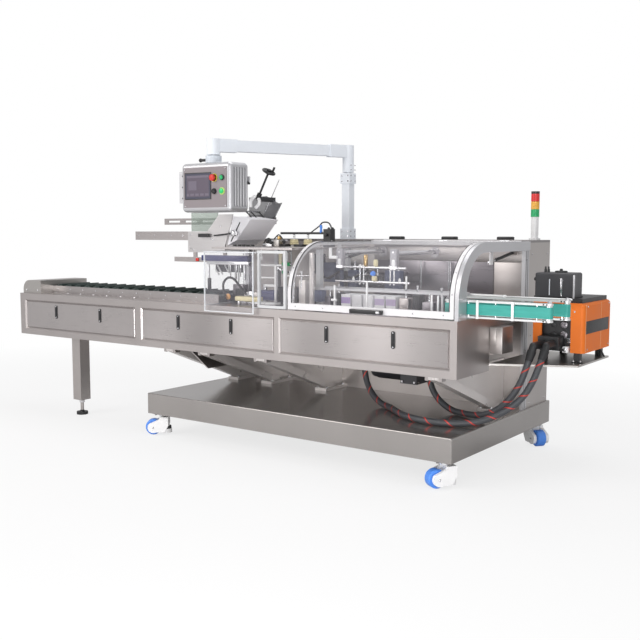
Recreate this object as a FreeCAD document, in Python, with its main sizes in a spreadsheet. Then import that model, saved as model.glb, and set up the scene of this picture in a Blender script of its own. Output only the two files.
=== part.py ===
import FreeCAD, Part
import math
import os
import re
import Sketcher
from FreeCAD import Vector

# Horizontal cartoning machine, in millimetres.
# The sheet below counts X from the infeed end of the front beam towards the discharge,
# Y from the front face of the beam towards the rear cabinet, and Z from the floor.
# Every published sub-part is then moved by datum_x and datum_y, so that the origin of the
# finished machine lies on the floor under the middle of its overall length and depth.

doc = FreeCAD.newDocument("cartoner")
sheet = doc.addObject("Spreadsheet::Sheet", "dims")

DIMENSIONS = [
    ("datum_x", 2035, "middle of the overall length"),
    ("datum_y", 555.25, "middle of the overall depth"),
    ("cut_margin", 1, "overshoot of a cutting block"),
    # base
    ("plinth_left", 1414, "infeed end of the plinth"),
    ("plinth_right", 3615, "discharge end of the plinth"),
    ("plinth_front", -72, "front of the plinth"),
    ("plinth_back", 1220, "back of the plinth"),
    ("plinth_bottom", 140, "underside of the plinth"),
    ("plinth_top", 272, "top of the plinth"),
    ("plinth_edge", 6, "edge radius of the folded plinth"),
    # rear cabinet
    ("cabinet_left", 1450, "infeed end of the rear cabinet"),
    ("cabinet_right", 3600, "discharge end of the rear cabinet"),
    ("cabinet_front", 890, "front wall of the rear cabinet"),
    ("cabinet_back", 1200, "rear wall of the rear cabinet"),
    ("cabinet_top", 1246, "top of the cabinet walls"),
    ("roof_thick", 14, "folded edge of the roof sheet"),
    ("fitting_front", 1150, "front of the roof fittings"),
    ("fitting_back", 1190, "back of the roof fittings"),
    ("fitting_high", 16, "height of the roof fittings"),
    ("fitting_one", 2484, "first roof fitting"),
    ("fitting_two", 2882, "second roof fitting"),
    ("fitting_three", 3272, "third roof fitting"),
    ("fitting_long", 100, "length of a roof fitting"),
    ("door_thick", 12, "thickness of the rear doors"),
    ("door_gap", 14, "gap around a rear door"),
    ("door_count", 3, "rear doors"),
    ("strip_front", 830, "front edge of the aluminium corner strip"),
    ("strip_top", 1205, "top of the corner strip"),
    ("strip_left", 3584, "inner side of the aluminium corner strip"),
    # front beam
    ("beam_right", 3600, "discharge end of the front beam"),
    ("beam_joint", 1260, "joint between infeed beam and front beam"),
    ("beam_bottom", 560, "underside of the beam"),
    ("beam_top", 860, "top of the beam"),
    ("beam_depth", 375, "depth of the beam"),
    ("panel_bottom", 610, "lower edge of the panel recesses"),
    ("panel_top", 805, "upper edge of the panel recesses"),
    ("recess_depth", 14, "depth of the panel recesses"),
    ("panel_thick", 9, "thickness of a lift-off panel"),
    ("panel_gap", 3, "gap around a lift-off panel"),
    ("recess_bevel", 9, "bevel of the recess edges"),
    ("panel_bevel", 3, "bevel of the panel edges"),
    ("recess_one_left", 64, "first recess, infeed side"),
    ("recess_one_right", 1223, "first recess, discharge side"),
    ("recess_two_left", 1296, "second recess, infeed side"),
    ("recess_two_right", 2402, "second recess, discharge side"),
    ("recess_three_left", 2454, "third recess, infeed side"),
    ("recess_three_right", 3551, "third recess, discharge side"),
    ("latch_wide", 24, "width of a latch"),
    ("latch_bottom", 690, "lower end of a latch"),
    ("latch_top", 785, "upper end of a latch"),
    ("latch_proud", 4, "latch standing out of its panel"),
    ("latch_one", 345, "latch centre from the side of the first panel"),
    ("latch_two", 330, "latch centre from the side of the second panel"),
    ("latch_three", 330, "latch centre from the side of the third panel"),
    # bed and drive housing
    ("bed_bottom", 800, "underside of the machine bed"),
    ("housing_left", 1850, "infeed end of the drive housing"),
    ("housing_right", 3430, "discharge end of the drive housing"),
    ("housing_bottom", 590, "underside of the drive housing"),
    ("rib_wide", 60, "width of the sloping channel of a rib"),
    ("rib_one", 1513, "middle of the first rib"),
    ("rib_two", 1815, "middle of the second rib"),
    ("rib_three", 2275, "middle of the third rib"),
    ("rib_four", 3447, "middle of the rib at the discharge end"),
    ("rib_toe", 36, "front end of a rib under the beam"),
    ("rib_nose", 20, "height of a rib at its front end"),
    ("rib_heel", 730, "front end of a rib's sloping underside on the plinth"),
    ("rib_high", 48, "upright height of the sloping channel"),
    ("rib_web", 12, "thickness of the panel above the channel"),
    ("rib_foot_front", 650, "front end of a rib's foot bar"),
    ("rib_foot_wide", 90, "width of a rib's foot bar"),
    ("rib_foot_high", 18, "height of a rib's foot bar"),
    ("bracket_wide", 20, "width of a bracket beside a rib's toe"),
    ("bracket_deep", 44, "depth of a bracket beside a rib's toe"),
    ("bracket_high", 26, "height of a bracket beside a rib's toe"),
    ("chute_left", 1600, "upper end of the waste chute"),
    ("chute_right", 1775, "lower end of the waste chute"),
    ("chute_front", 120, "front of the waste chute"),
    ("chute_back", 370, "back of the waste chute"),
    ("chute_low", 440, "lower end of the waste chute"),
    ("chute_thick", 6, "thickness of the waste chute"),
    ("motor_left", 2800, "infeed end of the drive motor"),
    ("motor_right", 3000, "discharge end of the drive motor"),
    ("motor_y", 530, "axis of the drive motor"),
    ("motor_z", 500, "axis of the drive motor"),
    ("motor_radius", 66, "radius of the drive motor"),
    ("gearbox_right", 3110, "discharge end of the drive's gearbox"),
    ("gearbox_half", 78, "half width of the drive's gearbox"),
    # infeed leg
    ("leg_left", 503, "infeed side of the leg"),
    ("leg_front", 60, "front side of the leg"),
    ("leg_size", 85, "side of the square leg tube"),
    ("leg_bottom", 109, "lower end of the leg tube"),
    ("leg_screw_radius", 12, "radius of the levelling screw"),
    ("leg_pad_radius", 40, "radius of the levelling pad"),
    ("leg_pad_high", 20, "height of the levelling pad"),
    # infeed conveyor
    ("cap_right", 205, "discharge side of the end cap"),
    ("cap_front", 30, "front of the end cap"),
    ("cap_back", 450, "back of the end cap"),
    ("cap_top", 955, "top of the end cap"),
    ("cap_round", 70, "radius of the end cap's outer edge"),
    ("chain_left", 210, "infeed end of the bucket chain"),
    ("chain_right", 1850, "discharge end of the bucket chain"),
    ("chain_front", 150, "front of the bucket chain"),
    ("chain_back", 430, "back of the bucket chain"),
    ("chain_low", 868, "underside of the chain loop"),
    ("chain_high", 906, "upper side of the chain loop"),
    ("chain_thick", 9, "thickness of the chain links"),
    ("cleat_thick", 6, "thickness of a bucket wall"),
    ("cleat_high", 22, "height of a bucket wall"),
    ("cleat_pitch", 101, "distance between bucket walls"),
    ("cleat_count", 16, "bucket walls on the upper run"),
    ("rail_thick", 8, "thickness of the chain side plates"),
    ("rail_top", 914, "top of the chain side plates"),
    ("rail_foot", 44, "width of the side plate's foot"),
    # hood
    ("hood_left", 2515, "infeed end of the hood"),
    ("hood_front", 0.5, "front of the hood's end profiles"),
    ("sheet_front", 1, "front of the clear hood sheet"),
    ("hood_right", 3578, "discharge end of the hood"),
    ("hood_bottom", 867, "lower edge of the hood"),
    ("hood_top", 1254, "top of the hood"),
    ("hood_radius", 304, "outer radius of the hood's bend"),
    ("hood_back", 862, "rear edge of the hood"),
    ("hood_band", 24, "width of the hood's end profiles"),
    ("hood_side", 22, "thickness of the hood's end profiles"),
    ("hood_sheet", 5, "thickness of the clear hood sheet"),
    ("hood_rail", 36, "height of the hood's bottom rail"),
    ("hinge_y", 878, "hood hinge line"),
    ("hinge_z", 1251, "hood hinge height"),
    ("hinge_radius", 6, "radius of the hinge barrel"),
    ("hinge_wing_half", 2, "half thickness of the hinge leaf"),
    ("handle_left", 2956, "infeed end of the handle"),
    ("handle_right", 3160, "discharge end of the handle"),
    ("handle_front", -22, "front of the hood handle"),
    ("handle_gap", -10, "back of the hood handle's bar"),
    ("handle_low", 869, "lower edge of the hood handle"),
    ("handle_high", 891, "upper edge of the hood handle"),
    ("handle_foot", 22, "width of a foot of the hood handle"),
    # end arch
    ("arch_left", 3584, "inner face of the end arch"),
    ("arch_right", 3606, "outer face of the end arch"),
    ("arch_leg", 88, "width of the arch's front leg"),
    ("arch_head", 54, "depth of the arch's head"),
    ("arch_heel", 820, "rear side of the arch's opening"),
    ("arch_back", 830, "rear edge of the arch beside the corner strip"),
    # gas springs
    ("spring_rear_y", 790, "fixed pivot of a gas spring"),
    ("spring_rear_z", 1190, "height of the fixed pivot"),
    ("spring_front_y", 480, "hood pivot of a gas spring"),
    ("spring_front_z", 1140, "height of the hood pivot"),
    ("spring_radius", 9, "radius of the spring cylinder"),
    ("spring_rod_radius", 4, "radius of the spring rod"),
    ("spring_body", 214, "length of the spring cylinder"),
    ("spring_left_x", 2553, "axis of the infeed gas spring"),
    ("spring_right_x", 3540, "axis of the discharge gas spring"),
    ("spring_start", 12, "start of the cylinder in front of its pivot"),
    ("spring_eye_radius", 9, "radius of a spring's end eye"),
    ("spring_eye_half", 4, "half width of a spring's end eye"),
    ("spring_pin_radius", 4, "radius of the fixed pivot pin"),
    ("spring_plate_gap", 6, "gap between a spring's eye and its fixed plate"),
    ("spring_plate", 6, "thickness of the spring plates"),
    ("spring_plate_low", 1174, "lower edge of the fixed spring plates"),
    ("spring_plate_high", 1206, "upper edge of the fixed spring plates"),
    ("spring_plate_front", 776, "front edge of the fixed spring plates"),
    ("horn_front", 462, "front edge of the hood's spring plate"),
    ("horn_back", 498, "rear edge of the hood's spring plate"),
    ("horn_low", 1130, "lower edge of the hood's spring plate"),
    # discharge
    ("discharge_right", 4056, "discharge end of the front belt"),
    ("discharge_end", 4070, "discharge end of the rear belt"),
    ("belt_low", 888, "lower edge of a discharge belt"),
    ("belt_high", 944, "upper edge of a discharge belt"),
    ("belt_thick", 4, "thickness of a discharge belt"),
    ("belt_front", 96, "front face of the front belt"),
    ("belt_rear", 290, "front face of the rear belt"),
    ("pulley_radius", 18, "radius of a belt pulley"),
    ("discharge_start", 3470, "infeed end of the discharge belts"),
    ("roller_radius", 14, "radius of the rollers inside the belts"),
    ("belt_bar_high", 10, "height of the bars along the belts"),
    ("belt_bar_gap", 8, "gap between a belt and its bars"),
    ("belt_post_one", 3650, "first post between the belt bars"),
    ("belt_post_two", 3846, "second post between the belt bars"),
    ("belt_post_size", 12, "side of a post between the belt bars"),
    ("belt_foot_right", 3570, "discharge end of the belts' feet"),
    ("rear_drop", 4, "rear belt below the front belt"),
    ("guide_y", 352, "axis of the chrome guide rod"),
    ("guide_z", 968, "height of the chrome guide rod"),
    ("guide_radius", 5, "radius of the chrome guide rod"),
    ("guide_right", 4061, "discharge end of the guide rod"),
    ("sleeve_radius", 9, "radius of the guide rod's sleeve"),
    ("sleeve_right", 3700, "discharge end of the guide rod's sleeve"),
    # glue unit
    ("shelf_top", 600, "top of the glue shelf"),
    ("shelf_thick", 10, "thickness of the glue shelf"),
    ("shelf_corner", 579, "front corner of the shelf at its discharge end"),
    ("glue_left", 3730, "infeed side of the glue unit"),
    ("glue_right", 4020, "discharge side of the glue unit"),
    ("glue_front", 655, "front of the glue unit"),
    ("glue_back", 1070, "back of the glue unit"),
    ("glue_bend", 22, "corner radius of the orange cover"),
    ("core_top", 905, "top of the core inside the orange cover"),
    ("core_front", 690, "front of the core inside the orange cover"),
    ("window_left", 3780, "infeed side of the cover's opening"),
    ("window_right", 3945, "discharge side of the cover's opening"),
    ("window_top", 836, "top of the cover's opening"),
    ("column_bottom", 686, "lower end of the cover's infeed column"),
    ("glue_bottom", 655, "underside of the glue unit"),
    ("glue_top", 925, "top of the orange cover"),
    ("cover_thick", 10, "thickness of the orange cover"),
    ("glue_deck_top", 948, "top of the dark deck"),
    ("tank_left", 3715, "infeed side of the glue tank"),
    ("tank_right", 3938, "discharge side of the glue tank"),
    ("tank_front", 700, "front of the glue tank"),
    ("tank_back", 840, "back of the glue tank"),
    ("tank_top", 1085, "top of the glue tank"),
    ("tank_bend", 12, "edge radius of the glue tank"),
    ("glue_foot_size", 34, "side of a foot under the glue unit"),
    ("glue_foot_side", 20, "foot from the infeed side of the glue unit"),
    ("glue_foot_end", 60, "foot from the discharge side of the glue unit"),
    ("glue_foot_front", 60, "infeed foot from the front of the glue unit"),
    ("glue_foot_nose", 14, "discharge foot from the front of the glue unit"),
    ("glue_foot_back", 60, "rear feet from the back of the glue unit"),
    ("gland_radius", 21, "radius of a hose gland"),
    ("gland_long", 34, "length of a hose gland"),
    ("hose_radius", 18, "radius of a heated hose"),
    ("hose_bed_gland", 25, "length of a gland under the drive housing"),
    ("hose_front_x", 2735, "start of the front hose under the bed"),
    ("hose_front_y", 470, "start of the front hose under the bed"),
    ("hose_rear_x", 3160, "start of the rear hose under the bed"),
    ("hose_rear_y", 505, "start of the rear hose under the bed"),
    ("hose_front_end_x", 3864, "upper end of the front hose"),
    ("hose_front_end_y", 496, "upper end of the front hose"),
    ("hose_front_end_z", 672, "upper end of the front hose"),
    ("hose_rear_end_x", 3802, "upper end of the rear hose"),
    ("hose_rear_end_y", 470, "upper end of the rear hose"),
    ("hose_rear_end_z", 668, "upper end of the rear hose"),
    ("manifold_left", 3782, "infeed side of the glue manifold"),
    ("manifold_right", 3900, "discharge side of the glue manifold"),
    ("manifold_low", 672, "underside of the glue manifold"),
    ("manifold_high", 742, "top of the glue manifold"),
    ("manifold_front", 600, "front of the glue manifold"),
    # signal light
    ("light_x", 3541, "axis of the signal light"),
    ("light_y", 1100, "axis of the signal light"),
    ("light_radius", 25, "radius of the lenses"),
    ("light_tube_radius", 22, "radius of the light's tube"),
    ("lens_gap", 1, "groove between two lenses"),
    ("lens_high", 46, "height of one lens"),
    ("light_cap", 14, "height of the signal light's cap"),
    ("light_foot_radius", 34, "radius of the signal light's foot"),
    ("light_foot_high", 10, "height of the signal light's foot"),
    ("light_top", 1550, "top of the signal light"),
    # operator panel
    ("post_x", 2250, "axis of the post"),
    ("post_y", 1000, "axis of the post"),
    ("post_size", 60, "side of the post tube"),
    ("socket_size", 76, "side of the post's sockets"),
    ("arm_z", 1845, "centre line of the arm"),
    ("arm_high", 80, "height of the arm"),
    ("arm_wide", 60, "width of the arm"),
    ("arm_swing_z", 1700, "parting line of the turning joint"),
    ("swing_gap", 5, "gap between post and arm"),
    ("swing_pin_radius", 16, "radius of the arm's turning pin"),
    ("swing_pin_high", 60, "height of the arm's turning pin"),
    ("pin_play", 1, "play round the turning pin"),
    ("socket_high", 70, "height of the post's base socket"),
    ("sleeve_step", 5, "step of the sleeves on the arm"),
    ("sleeve_long", 150, "length of the elbow sleeves"),
    ("head_x", 1818, "axis of the panel's turning joint"),
    ("head_y", 144, "axis of the panel's turning joint"),
    ("head_radius", 50, "radius of the panel's round coupling"),
    ("tail_radius", 42, "radius of the arm's lower end"),
    ("coupling_high", 47, "height of the round coupling"),
    ("coupling_gap", 5, "gap between coupling and arm"),
    ("coupling_pin", 14, "radius of the coupling's turning pin"),
    ("lever_left", 1716, "free end of the clamp lever"),
    ("lever_radius", 9, "radius of the clamp lever"),
    ("lever_sink", 2, "lever let into the coupling"),
    ("lever_z", 1757, "height of the clamp lever"),
    ("box_left", 1620, "infeed side of the operator panel"),
    ("box_right", 2033, "discharge side of the operator panel"),
    ("box_front", 54, "front of the operator panel"),
    ("box_back", 234, "back of the operator panel"),
    ("face_left", 1648, "infeed side of the front plate"),
    ("face_right", 2007, "discharge side of the front plate"),
    ("face_low", 1458, "lower edge of the front plate"),
    ("face_high", 1705, "upper edge of the front plate"),
    ("face_thick", 4, "thickness of the front plate"),
    ("screen_left", 1665, "infeed side of the screen"),
    ("screen_right", 1877, "discharge side of the screen"),
    ("screen_low", 1513, "lower edge of the screen"),
    ("screen_high", 1668, "upper edge of the screen"),
    ("screen_thick", 3, "thickness of the screen"),
    ("button_left", 1908, "left column of buttons"),
    ("button_right", 1972, "right column of buttons"),
    ("button_high", 1638, "upper row of buttons"),
    ("button_low", 1556, "lower row of buttons"),
    ("button_radius", 14, "radius of a button"),
    ("button_proud", 12, "height of a button"),
    ("stop_ring", 24, "radius of the ring under the stop button"),
    ("stop_radius", 19, "radius of the stop button"),
    ("stop_proud", 26, "height of the stop button"),
    ("stop_plate_thick", 5, "thickness of the ring under the stop button"),
    ("stop_head_thick", 12, "thickness of the stop button's head"),
    ("wing_left", 1556, "free edge of the plate beside the panel"),
    ("wing_front", 104, "front of the plate beside the panel"),
    ("wing_thick", 10, "thickness of the plate beside the panel"),
    ("wing_low", 1490, "lower edge of the plate beside the panel"),
    ("wing_high", 1688, "upper edge of the plate beside the panel"),
    ("panel_box_low", 1430, "underside of the operator panel"),
    ("panel_box_high", 1733, "top of the operator panel"),
    ("panel_box_round", 28, "corner radius of the operator panel"),
    # casters
    ("wheel_radius", 50, "radius of a caster wheel"),
    ("wheel_wide", 54, "width of a caster wheel"),
    ("wheel_bevel", 5, "bevel of a wheel's edges"),
    ("caster_inset", 68, "swivel axis from the plinth's sides"),
    ("turn_front_left", 218, "heading of the front left wheel"),
    ("turn_front_right", 236, "heading of the front right wheel"),
    ("turn_rear_left", 200, "heading of the rear left wheel"),
    ("turn_rear_right", 321, "heading of the rear right wheel"),
    ("caster_trail", 58, "wheel axle behind the swivel axis"),
    ("caster_plate", 90, "side of the caster's mounting plate"),
    ("caster_plate_thick", 6, "thickness of the mounting plate"),
    ("cheek_inner", 32, "inner face of a housing cheek"),
    ("cheek_outer", 52, "outer face of a housing cheek"),
    ("cheek_radius", 36, "radius of a cheek round the axle"),
    ("cheek_toe_u", -14, "rear end of a cheek's underside"),
    ("cheek_low", 19, "underside of a cheek"),
    ("cheek_front_u", 40, "front end of a cheek's underside"),
    ("cheek_nose_u", 84, "upper end of the round over the axle"),
    ("cheek_nose_z", 74, "height of the upper end of that round"),
    ("cheek_neck_u", 16, "front of a cheek's neck"),
    ("cheek_neck_z", 104, "lower end of a cheek's neck"),
    ("housing_top", 118, "top of a caster housing"),
    ("bridge_front", 3, "front of the block between the cheeks"),
    ("bridge_back", -40, "back of a caster housing"),
    ("bridge_low", 60, "underside of the block between the cheeks"),
    ("neck_radius", 22, "radius of the swivel neck"),
    ("axle_radius", 6, "radius of a wheel axle"),
    ("axle_play", 0.1, "play round a wheel axle"),
    ("foot_u", -25, "levelling foot behind the swivel axis"),
    ("foot_low", 12, "underside of the levelling foot"),
    ("foot_high", 37, "top of the levelling foot"),
    ("foot_radius", 33, "radius of the levelling foot"),
    ("thumb_radius", 20, "radius of the thumbwheel"),
    ("nut_radius", 7, "radius of a plate's nut"),
    ("nut_high", 10, "height of a plate's nut"),
    ("nut_inset", 14, "nut from the sides of its plate"),
    # guards and deck
    ("guard_left", 1886, "infeed side of the guard box"),
    ("guard_right", 2277, "discharge side of the guard box"),
    ("guard_front", -28, "front of the guard box"),
    ("guard_bottom", 825, "lower edge of the guard's front sheet"),
    ("guard_top", 1190, "top of the guard box"),
    ("guard_sheet", 6, "thickness of the guard sheets"),
    ("guard_lift", 2, "guard's side sheets above the beam"),
    ("side_left", 2287, "infeed side of the framed side guard"),
    ("side_right", 2498, "discharge side of the framed side guard"),
    ("side_front", 0, "front of the framed side guard"),
    ("side_low", 864, "lower edge of the framed side guard"),
    ("side_top", 1200, "top of the framed side guard"),
    ("side_bar", 16, "width of the side guard's frame"),
    ("deck_left", 1870, "infeed side of the upper deck"),
    ("deck_right", 2500, "discharge side of the upper deck"),
    ("deck_front", 60, "front of the upper deck"),
    ("deck_bottom", 1204, "underside of the upper deck"),
    ("deck_thick", 12, "thickness of the upper deck"),
    ("deck_post", 32, "side of a deck post"),
    ("deck_post_inset", 4, "discharge posts from the end of the deck"),
    ("post_far_y", 640, "front of the rear deck posts"),
    # magazine
    ("plate_thick", 8, "thickness of the magazine plates"),
    ("side_gap", 3, "gap between stack and magazine plates"),
    ("wheel_hub_x", 1967, "hub of the handwheel"),
    ("wheel_hub_z", 1695, "hub of the handwheel"),
    ("spindle_low_x", 1881, "lower end of the handwheel spindle"),
    ("spindle_low_z", 1540, "lower end of the handwheel spindle"),
    ("handwheel_radius", 46, "radius of the handwheel"),
    ("wheel_bead", 8, "radius of the handwheel's rim"),
    ("wheel_grip_long", 34, "length of the handwheel's grip"),
    ("spindle_radius", 7, "radius of the spindle and the grip"),
    ("spindle_tail", 30, "spindle below its nut"),
    ("spindle_play", 0.2, "play round the spindle"),
    ("nut_sleeve_radius", 16, "radius of the spindle's nut"),
    ("nut_sleeve_long", 40, "length of the spindle's nut"),
    ("nut_stay_wide", 24, "width of the nut's stay"),
    ("nut_stay_high", 30, "height of the nut's stay"),
    ("nut_stay_drop", 34, "underside of the stay below the nut"),
    ("spindle_bore_long", 400, "length of the cut for the spindle"),
    ("near_face", 352, "front of the near magazine plate"),
    ("far_face", 648, "front of the far magazine plate"),
    ("magazine_low_left", 1383, "lower front corner of the near plate"),
    ("magazine_low", 1172, "lower edge of the near plate"),
    ("magazine_step", 1311, "top of the near plate's low part"),
    ("magazine_crest", 1422, "top of the near plate's high part"),
    ("magazine_crest_left", 1667, "left end of the high part"),
    ("magazine_crest_right", 1788, "right end of the high part"),
    ("magazine_toe", 1717, "lower right corner of the near plate"),
    ("magazine_rise", 1560, "start of the rise to the high part"),
    ("rail_left", 867, "free end of the magazine's long rail"),
    ("rail_low", 1252, "lower edge of the long rail"),
    ("slot_bar_left", 847, "free end of the far slotted bar"),
    ("slot_bar_right", 1900, "discharge end of the far slotted bar"),
    ("slot_bar_low", 1360, "lower edge of the far slotted bar"),
    ("slot_bar_high", 1405, "upper edge of the far slotted bar"),
    ("slot_low", 1376, "lower edge of the bar's slots"),
    ("slot_high", 1389, "upper edge of the bar's slots"),
    ("slot_first", 40, "first slot from the bar's free end"),
    ("slot_pitch", 170, "distance between the slots"),
    ("slot_long", 120, "length of a slot"),
    ("slot_count", 5, "slots in the bar"),
    ("base_left", 1251, "free end of the magazine's base rails"),
    ("base_low", 1107, "lower edge of the base rails"),
    ("base_high", 1139, "upper edge of the base rails"),
    ("base_thick", 16, "thickness of the base rails"),
    ("cross_radius", 9, "radius of the magazine's cross rods"),
    ("cross_low_z", 1200, "lower cross rods"),
    ("cross_left_x", 1430, "left cross rods"),
    ("cross_right_x", 1690, "right cross rods"),
    ("acrylic_left", 1129, "left edge of the clear plate"),
    ("acrylic_right", 1383, "right edge of the clear plate"),
    ("acrylic_low", 1310, "lower edge of the clear plate"),
    ("acrylic_high", 1445, "upper edge of the clear plate"),
    ("acrylic_gap", 2, "clear plate above its rail"),
    ("stack_top_x", 1781, "carton stack, upper rear corner"),
    ("stack_top_z", 1409, "carton stack, upper rear corner"),
    ("stack_peak_x", 1930, "carton stack, upper front corner"),
    ("stack_peak_z", 1388, "carton stack, upper front corner"),
    ("stack_low_x", 1811, "carton stack, lower front corner"),
    ("stack_low_z", 1256, "carton stack, lower front corner"),
    ("stack_tail_x", 1731, "carton stack, lower rear corner"),
    ("stack_tail_z", 1221, "carton stack, lower rear corner"),
    ("smoked_x", 1957, "upper front corner of the smoked cover"),
    ("smoked_z", 1501, "upper front corner of the smoked cover"),
    ("smoked_low_x", 1891, "lower corner of the smoked cover"),
    ("smoked_low_z", 1396, "lower corner of the smoked cover"),
    ("smoked_back_x", 1800, "rear corner of the smoked cover"),
    ("smoked_slant", 20, "slant of the smoked cover's rear corner"),
    ("handle_slot_x", 1542, "middle of the magazine's black handle"),
    ("handle_slot_z", 1285, "middle of the magazine's black handle"),
    ("grip_half", 45, "half length of the magazine's handle"),
    ("grip_half_high", 12, "half height of the magazine's handle"),
    ("grip_reach", 22, "magazine's handle in front of its plate"),
    ("grip_gap", 12, "gap behind the magazine's handle"),
    ("grip_foot", 16, "width of a foot of the magazine's handle"),
    ("cup_bar_left", 2070, "infeed end of the suction bar"),
    ("cup_bar_right", 2470, "discharge end of the suction bar"),
    ("cup_bar_y", 500, "axis of the suction bar"),
    ("cup_bar_z", 1300, "height of the suction bar"),
    ("cup_bar_size", 14, "side of the suction bar"),
    ("cup_radius", 20, "radius of a suction cup"),
    ("cup_low", 1236, "lower edge of a suction cup"),
    ("cup_one", 2176, "first suction cup"),
    ("cup_two", 2286, "second suction cup"),
    ("clamp_x", 2450, "clamp that carries the suction bar"),
    ("clamp_half", 26, "half size of the suction clamp"),
    # inside the hood
    ("product_y", 200, "middle of the carton rails"),
    ("product_z", 985, "height of the upper carton rails"),
    ("product_half", 10, "half width of a carton rail"),
    ("product_left", 2548, "infeed end of the carton rails"),
    ("product_right", 3499, "discharge end of the carton rails"),
    ("product_gap", 130, "distance between the two carton rails"),
    ("product_high", 12, "height of a carton rail"),
    ("product_post", 12, "side of a carton rail's post"),
    ("product_post_one", 2700, "first post under the carton rails"),
    ("product_post_two", 3400, "second post under the carton rails"),
    ("row_left", 2740, "infeed end of the row of cartons"),
    ("row_count", 5, "cartons in the row"),
    ("row_pitch", 76, "distance between the cartons"),
    ("row_long", 62, "length of a carton"),
    ("row_front", 215, "front of the cartons"),
    ("row_back", 320, "back of the cartons"),
    ("row_top", 950, "top of the cartons"),
    ("press_y", 400, "middle of the hold-down bars"),
    ("press_left", 2572, "infeed end of the lower hold-down bar"),
    ("press_right", 3087, "discharge end of the lower hold-down bar"),
    ("press_low_z", 1015, "lower hold-down bar"),
    ("press_top_left", 2625, "infeed end of the upper hold-down bar"),
    ("press_top_right", 3063, "discharge end of the upper hold-down bar"),
    ("press_top_z", 1100, "upper hold-down bar"),
    ("press_radius", 7, "radius of the hold-down bars"),
    ("press_rod_radius", 5, "radius of the upright rods"),
    ("press_rod_one", 2747, "first pair of upright rods"),
    ("press_rod_two", 2957, "second pair of upright rods"),
    ("press_rod_pitch", 26, "distance between the rods of a pair"),
    ("shaft_one", 2606, "first shaft on the back wall"),
    ("shaft_two", 2985, "second shaft on the back wall"),
    ("shaft_z", 1184, "height of the shafts"),
    ("shaft_radius", 13, "radius of the shafts"),
    ("flange_radius", 34, "radius of a shaft's flange"),
    ("flange_thick", 14, "thickness of a shaft's flange"),
    ("clamp_low", 1093, "lower edge of a shaft's clamp"),
    ("clamp_top", 1208, "upper edge of a shaft's clamp"),
    ("clamp_wide", 44, "width of a shaft's clamp"),
    ("clamp_deep", 30, "depth of a shaft's clamp"),
]

for row, (alias, number, meaning) in enumerate(DIMENSIONS, start=1):
    sheet.set(f"A{row}", alias)
    sheet.set(f"B{row}", str(number))
    sheet.set(f"C{row}", meaning)
    sheet.setAlias(f"B{row}", alias)
doc.recompute()

published = []


def refer(formula):
    """The formula with each alias pointing at its cell in the sheet."""
    return re.sub(r"[a-z]\w*", lambda word: "dims." + word.group(0), str(formula))


def worth(formula):
    """The number that a formula over the sheet gives."""
    return float(sheet.evalExpression(refer(formula)))


def bind(item, **formulas):
    """Bind properties of an object to formulas over the sheet."""
    for name, formula in formulas.items():
        item.setExpression(name.replace("__", "."), refer(formula))


def place(item, corner):
    """Bind the position of an object to three formulas."""
    for letter, formula in zip("xyz", corner):
        item.setExpression("Placement.Base." + letter, refer(formula))


def box(name, low, high):
    """A block between two corners, each given as three formulas."""
    item = doc.addObject("Part::Box", name)
    for side, start, stop in zip(("Length", "Width", "Height"), low, high):
        item.setExpression(side, refer(f"({stop}) - ({start})"))
    place(item, low)
    return item


ALONG = {
    "x": FreeCAD.Rotation(Vector(0, 1, 0), 90),
    "y": FreeCAD.Rotation(Vector(1, 0, 0), -90),
    "z": FreeCAD.Rotation(),
}


def rod(name, along, start, radius, length):
    """A round bar from a start point along one axis."""
    item = doc.addObject("Part::Cylinder", name)
    bind(item, Radius=radius, Height=length)
    item.Placement = FreeCAD.Placement(Vector(), ALONG[along])
    place(item, start)
    return item


def fuse(name, parts):
    """One solid from several overlapping or touching ones."""
    item = doc.addObject("Part::MultiFuse", name)
    item.Shapes = parts
    item.Refine = True
    return item


def cut(name, base, tool):
    """A solid with another taken out of it."""
    item = doc.addObject("Part::Cut", name)
    item.Base = base
    item.Tool = tool
    item.Refine = True
    return item


def group(name, parts):
    """Several like pieces that don't touch, kept as one object."""
    item = doc.addObject("Part::Compound", name)
    item.Links = parts
    return item


def fillet(name, base, radius, chosen):
    """Round the edges of a solid whose middle point is chosen by a test."""
    doc.recompute()
    item = doc.addObject("Part::Fillet", name)
    item.Base = base
    picked = []
    for index, edge in enumerate(base.Shape.Edges, start=1):
        middle = edge.valueAt((edge.FirstParameter + edge.LastParameter) / 2)
        if chosen(edge, middle):
            picked.append((index, worth(radius), worth(radius)))
    item.Edges = picked
    return item


PLANES = {"xy": "XY_Plane", "xz": "XZ_Plane", "yz": "YZ_Plane"}


def arc_between(first, last, radius):
    """The arc from one point to the next: left-turning if the radius is positive."""
    chord = last - first
    rise = math.sqrt(max(0.0, radius ** 2 - (chord.Length / 2) ** 2))
    side = Vector(-chord.y, chord.x, 0).normalize() * math.copysign(1, radius)
    centre = (first + last) / 2 + side * rise
    if radius < 0:
        first, last = last, first
    opening = math.atan2(first.y - centre.y, first.x - centre.x)
    closing = math.atan2(last.y - centre.y, last.x - centre.x)
    if closing < opening:
        closing += 2 * math.pi
    return Part.ArcOfCircle(Part.Circle(centre, Vector(0, 0, 1), abs(radius)), opening, closing)


def half_round(first, last, radius):
    """True if an arc of this radius between two points is half a circle."""
    return abs((last - first).Length - 2 * abs(radius)) < 1e-6


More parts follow.
